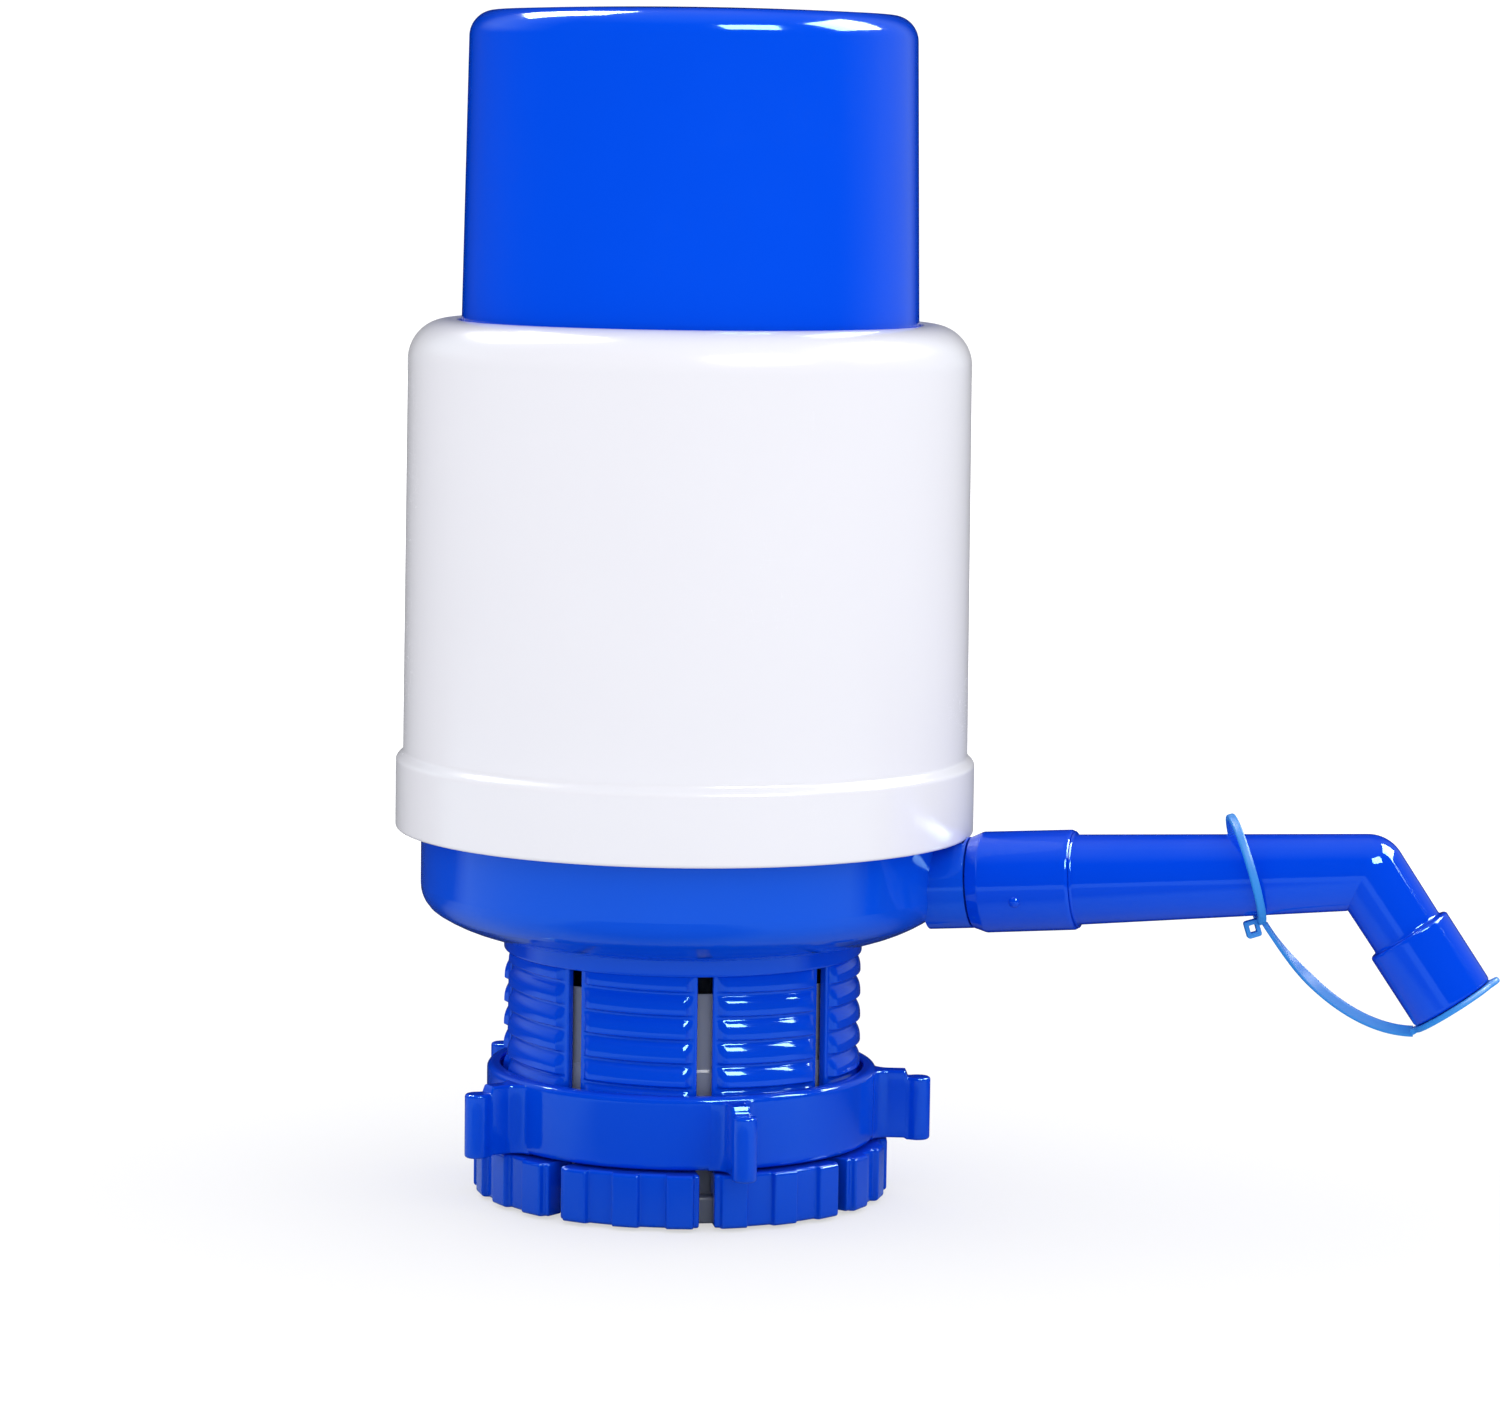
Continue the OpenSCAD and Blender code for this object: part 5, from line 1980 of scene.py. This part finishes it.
@dataclass
class PhotoCamera:
    """The camera where the photograph's stood: a long lens, a little above the pump."""

    distance: float = 864.0
    azimuth: float = 15.0
    height: float = 184.0
    pitch: float = 6.584
    yaw: float = 0.74
    roll: float = 0.79
    focal_pixels: float = 4995.0
    picture_width: float = 1500.0
    sensor: float = 36.0
    clip: Pair = (0.05, 20.0)  # nearest and furthest that it sees, in metres

    def build(self) -> None:
        """Places the camera: it looks level at azimuth less yaw, is tipped down, then rolled."""
        a, ay = math.radians(self.azimuth), math.radians(self.azimuth - self.yaw)
        p, t = math.radians(self.pitch), math.radians(self.roll)
        level = np.array([-math.sin(ay), math.cos(ay), 0.0])
        right = np.array([math.cos(ay), math.sin(ay), 0.0])
        look = level * math.cos(p) - UP * math.sin(p)
        over = UP * math.cos(p) + level * math.sin(p)
        x = right * math.cos(t) + over * math.sin(t)
        y = -right * math.sin(t) + over * math.cos(t)
        at = np.array([self.distance * math.sin(a), -self.distance * math.cos(a), self.height]) * MM
        lens = bpy.data.cameras.new("photo_camera")
        lens.sensor_fit = "HORIZONTAL"
        lens.sensor_width = self.sensor
        lens.lens = self.focal_pixels / self.picture_width * self.sensor
        lens.clip_start, lens.clip_end = self.clip
        camera = bpy.data.objects.new("photo_camera", lens)
        bpy.context.scene.collection.objects.link(camera)
        place = np.eye(4)
        place[:3, 0], place[:3, 1], place[:3, 2], place[:3, 3] = x, y, -look, at
        camera.matrix_world = Matrix(place.tolist())
        bpy.context.scene.camera = camera


@dataclass(frozen=True)
class SoftBox:
    """One soft box that only glossy surfaces see: its place, its size and its strength.

    Angles are in degrees, with azimuth 0 in front of the pump and 90 at the spout's side.
    Lengths are in metres and the power is in watts.
    """

    name: str
    azimuth: float
    elevation: float
    distance: float
    width: float
    height: float
    power: float
    aim: Triple = (0.02, 0.0, 0.1)

    def build(self) -> None:
        """Places the light, square to the line to its aim, a point near the pump's middle."""
        a, e = math.radians(self.azimuth), math.radians(self.elevation)
        back = np.array([math.sin(a) * math.cos(e), -math.cos(a) * math.cos(e), math.sin(e)])
        right = np.array([math.cos(a), math.sin(a), 0.0])
        lamp = bpy.data.lights.new(self.name, "AREA")
        lamp.shape = "RECTANGLE"
        lamp.size, lamp.size_y = self.width, self.height
        lamp.energy = self.power
        light = bpy.data.objects.new(self.name, lamp)
        bpy.context.scene.collection.objects.link(light)
        place = np.eye(4)
        place[:3, 0], place[:3, 1], place[:3, 2] = right, np.cross(back, right), back
        place[:3, 3] = back * self.distance + np.array(self.aim)
        light.matrix_world = Matrix(place.tolist())
        light.visible_diffuse = False
        lamp.cycles.max_bounces = 0


@dataclass
class Surroundings:
    """The world, which shows each kind of ray something else.

    The camera sees white. Surfaces get an even soft light, a little stronger from the right.
    What glossy surfaces mirror is dark in front and straight behind the pump, as if flags
    stood there, lighter to the sides, most of all to the right, and lighter overhead. Each
    Fit takes how far a direction goes to the right, to the back or up, from -1 to 1, and
    gives a brightness.
    """

    to_back: Triple = (-0.26, 0.966, 0.0)
    to_right: Triple = (0.966, 0.26, 0.0)
    left_side: Fit = (-0.45, -0.8, 0.0, 1.0)
    left_height: Fit = (0.1, 0.3, 0.05, 0.65)
    right_side: Fit = (-0.2, 0.5, 0.05, 0.36)
    front_flag: Fit = (-0.2, 0.35, 0.03, 1.0)
    back_flag: Fit = (0.8, 0.93, 1.0, 0.03)
    overhead: Fit = (0.7, 0.95, 0.0, 0.5)
    soft: Fit = (-1.0, 1.0, 0.97, 1.25)

    def build(self) -> None:
        """Builds the world."""
        world = bpy.data.worlds.new("studio_world")
        bpy.context.scene.world = world
        world.use_nodes = True
        n = Nodes(world.node_tree)
        way = n.split(n.add("ShaderNodeTexCoord").outputs["Generated"])
        flat = n.add("ShaderNodeCombineXYZ")
        n.fill(flat, {"X": way["X"], "Y": way["Y"]})
        level = n.vector("NORMALIZE", flat.outputs[0]).outputs["Vector"]
        behind = n.vector("DOT_PRODUCT", level, self.to_back).outputs["Value"]
        right = n.vector("DOT_PRODUCT", level, self.to_right).outputs["Value"]
        left = n.times(n.fit(right, *self.left_side), n.fit(way["Z"], *self.left_height))
        sides = n.calc("MAXIMUM", left, n.fit(right, *self.right_side))
        flags = n.times(n.fit(behind, *self.front_flag), n.fit(behind, *self.back_flag))
        mirrored = n.calc("MAXIMUM", n.times(sides, flags), n.fit(way["Z"], *self.overhead))
        path = n.add("ShaderNodeLightPath").outputs
        seen = n.mix("FLOAT", path["Is Glossy Ray"], n.fit(right, *self.soft), mirrored)
        background = world.node_tree.nodes["Background"]
        n.fill(background, {"Color": n.mix("RGBA", path["Is Glossy Ray"], WHITE, MIRRORED)})
        n.fill(background, {"Strength": n.calc("MAXIMUM", seen, path["Is Camera Ray"])})


@dataclass
class PaperFloor:
    """A round pale floor, measured in metres, which shows each kind of ray something else.

    The camera sees it lifted to white by a light of its own, less the pump's soft shadow.
    Soft light meets it darker right under the pump, a painted shade that falls on the pump's
    lower parts. Glossy surfaces mirror it only where it lies ahead of the pump, darker at a
    painted shadow patch close by and dark further out. The paper's own tones come from a
    noise. The other Fits take metres: from the patch, along Y for the one that looks ahead,
    and from the middle of the pump's foot for the rest.
    """

    z: float = -0.0006
    radius: float = 3.0
    roughness: float = 0.7
    mottle: Pair = (3.0, 2.0)  # the noise's features per metre and its finer layers
    paper: Fit = (0.3, 0.7, 0.88, 0.92)
    # painted shadow: glossy surfaces mirror the floor darker round this spot in front of the pump
    patch_at: Triple = (0.01, -0.15, 0.0)
    patch: Fit = (0.08, 0.11, 0.35, 1.0)
    ahead: Fit = (-0.02, 0.06, 1.0, 0.04)
    far: Fit = (0.7, 0.85, 0.85, 0.05)
    # painted shade: soft light meets a darker floor right under the pump
    under: Fit = (0.05, 0.16, 0.3, 1.0)
    camera_tone: float = 0.45
    lift: Fit = (0.15, 0.8, 0.6, 1.0)

    def paint(self) -> bpy.types.Material:
        """Builds the floor's finish.

        Returns:
            The material.
        """
        paint = bpy.data.materials.new("floor_paint")
        paint.use_nodes = True
        n = Nodes(paint.node_tree)
        place = n.place()
        path = n.add("ShaderNodeLightPath").outputs
        paper = n.fit(n.noise(place, *self.mottle), *self.paper)
        from_patch = n.vector("DISTANCE", place, self.patch_at).outputs["Value"]
        away = n.vector("LENGTH", place).outputs["Value"]
        ahead = n.fit(n.split(place)["Y"], *self.ahead)
        # the patch's fit paints a shadow into what glossy surfaces mirror
        mirrored = n.times(
            n.times(paper, n.fit(from_patch, *self.patch)), n.times(ahead, n.fit(away, *self.far))
        )
        # painted shade under the pump, for every ray but the camera's
        under = n.calc("MAXIMUM", n.fit(away, *self.under), path["Is Camera Ray"])
        seen = n.times(paper, n.fit(path["Is Camera Ray"], 0.0, 1.0, 1.0, self.camera_tone))
        tone = n.mix("FLOAT", path["Is Glossy Ray"], n.times(seen, under), mirrored)
        grey = n.add("ShaderNodeCombineColor")
        for label in ("Red", "Green", "Blue"):
            n.feed(grey.inputs[label], tone)
        colour = n.mix("RGBA", path["Is Glossy Ray"], grey.outputs["Color"], MIRRORED, "MULTIPLY")
        lift = n.times(path["Is Camera Ray"], n.fit(away, *self.lift))
        shader = paint.node_tree.nodes["Principled BSDF"]
        n.fill(shader, {"Base Color": colour, "Roughness": self.roughness})
        n.fill(shader, {"Specular IOR Level": 0.0, "Emission Color": WHITE})
        n.fill(shader, {"Emission Strength": lift})
        return paint

    def build(self) -> None:
        """Builds the floor as one round face."""
        a = np.linspace(0.0, TURN, 96, endpoint=False)
        points = polar(np.array(self.radius), a, np.array(self.z))
        mesh = bpy.data.meshes.new("floor")
        mesh.from_pydata(points.tolist(), [], [list(range(len(a)))])
        mesh.materials.append(self.paint())
        floor = bpy.data.objects.new("floor", mesh)
        bpy.context.scene.collection.objects.link(floor)
        floor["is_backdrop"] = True


@dataclass
class Studio:
    """White surroundings, a pale floor and soft boxes."""

    boxes: tuple[SoftBox, ...] = (
        SoftBox("left_box", -116.0, 55.0, 1.3, 0.45, 0.6, 44.0),
        SoftBox("front_box", 46.0, 39.0, 1.3, 0.6, 0.4, 24.0),
        SoftBox("right_box", 116.0, 41.0, 1.3, 0.8, 0.6, 38.0),
    )

    def build(self) -> None:
        """Builds the world, the floor and the soft boxes."""
        Surroundings().build()
        PaperFloor().build()
        for soft_box in self.boxes:
            soft_box.build()


# ---------- main ----------


def corners() -> list[list[float]]:
    """The shown object's lowest and highest corner, as plain lists."""
    return [[float(v) for v in corner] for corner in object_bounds()]


def main() -> None:
    """Loads the frame and builds the pump piece by piece."""
    logging.basicConfig(level=logging.INFO, format="%(name)s: %(message)s")
    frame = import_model()
    PhotoCamera().build()
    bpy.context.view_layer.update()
    bpy.context.scene.view_settings.view_transform = "Standard"
    finishes = Finishes()
    Kept().build(finishes, frame["nodes"])
    for part in (
        PressCap(),
        OuterCover(),
        NeckCollar(),
        NeckLiner(),
        LockRing(),
        Spout(),
        StrapRing(),
        CapStrap(),
        DustCap(),
        Bellows(),
        ReturnSpring(),
        AirValves(),
        Seals(),
    ):
        part.build(finishes)
    Studio().build()


if __name__ == "__main__":
    main()
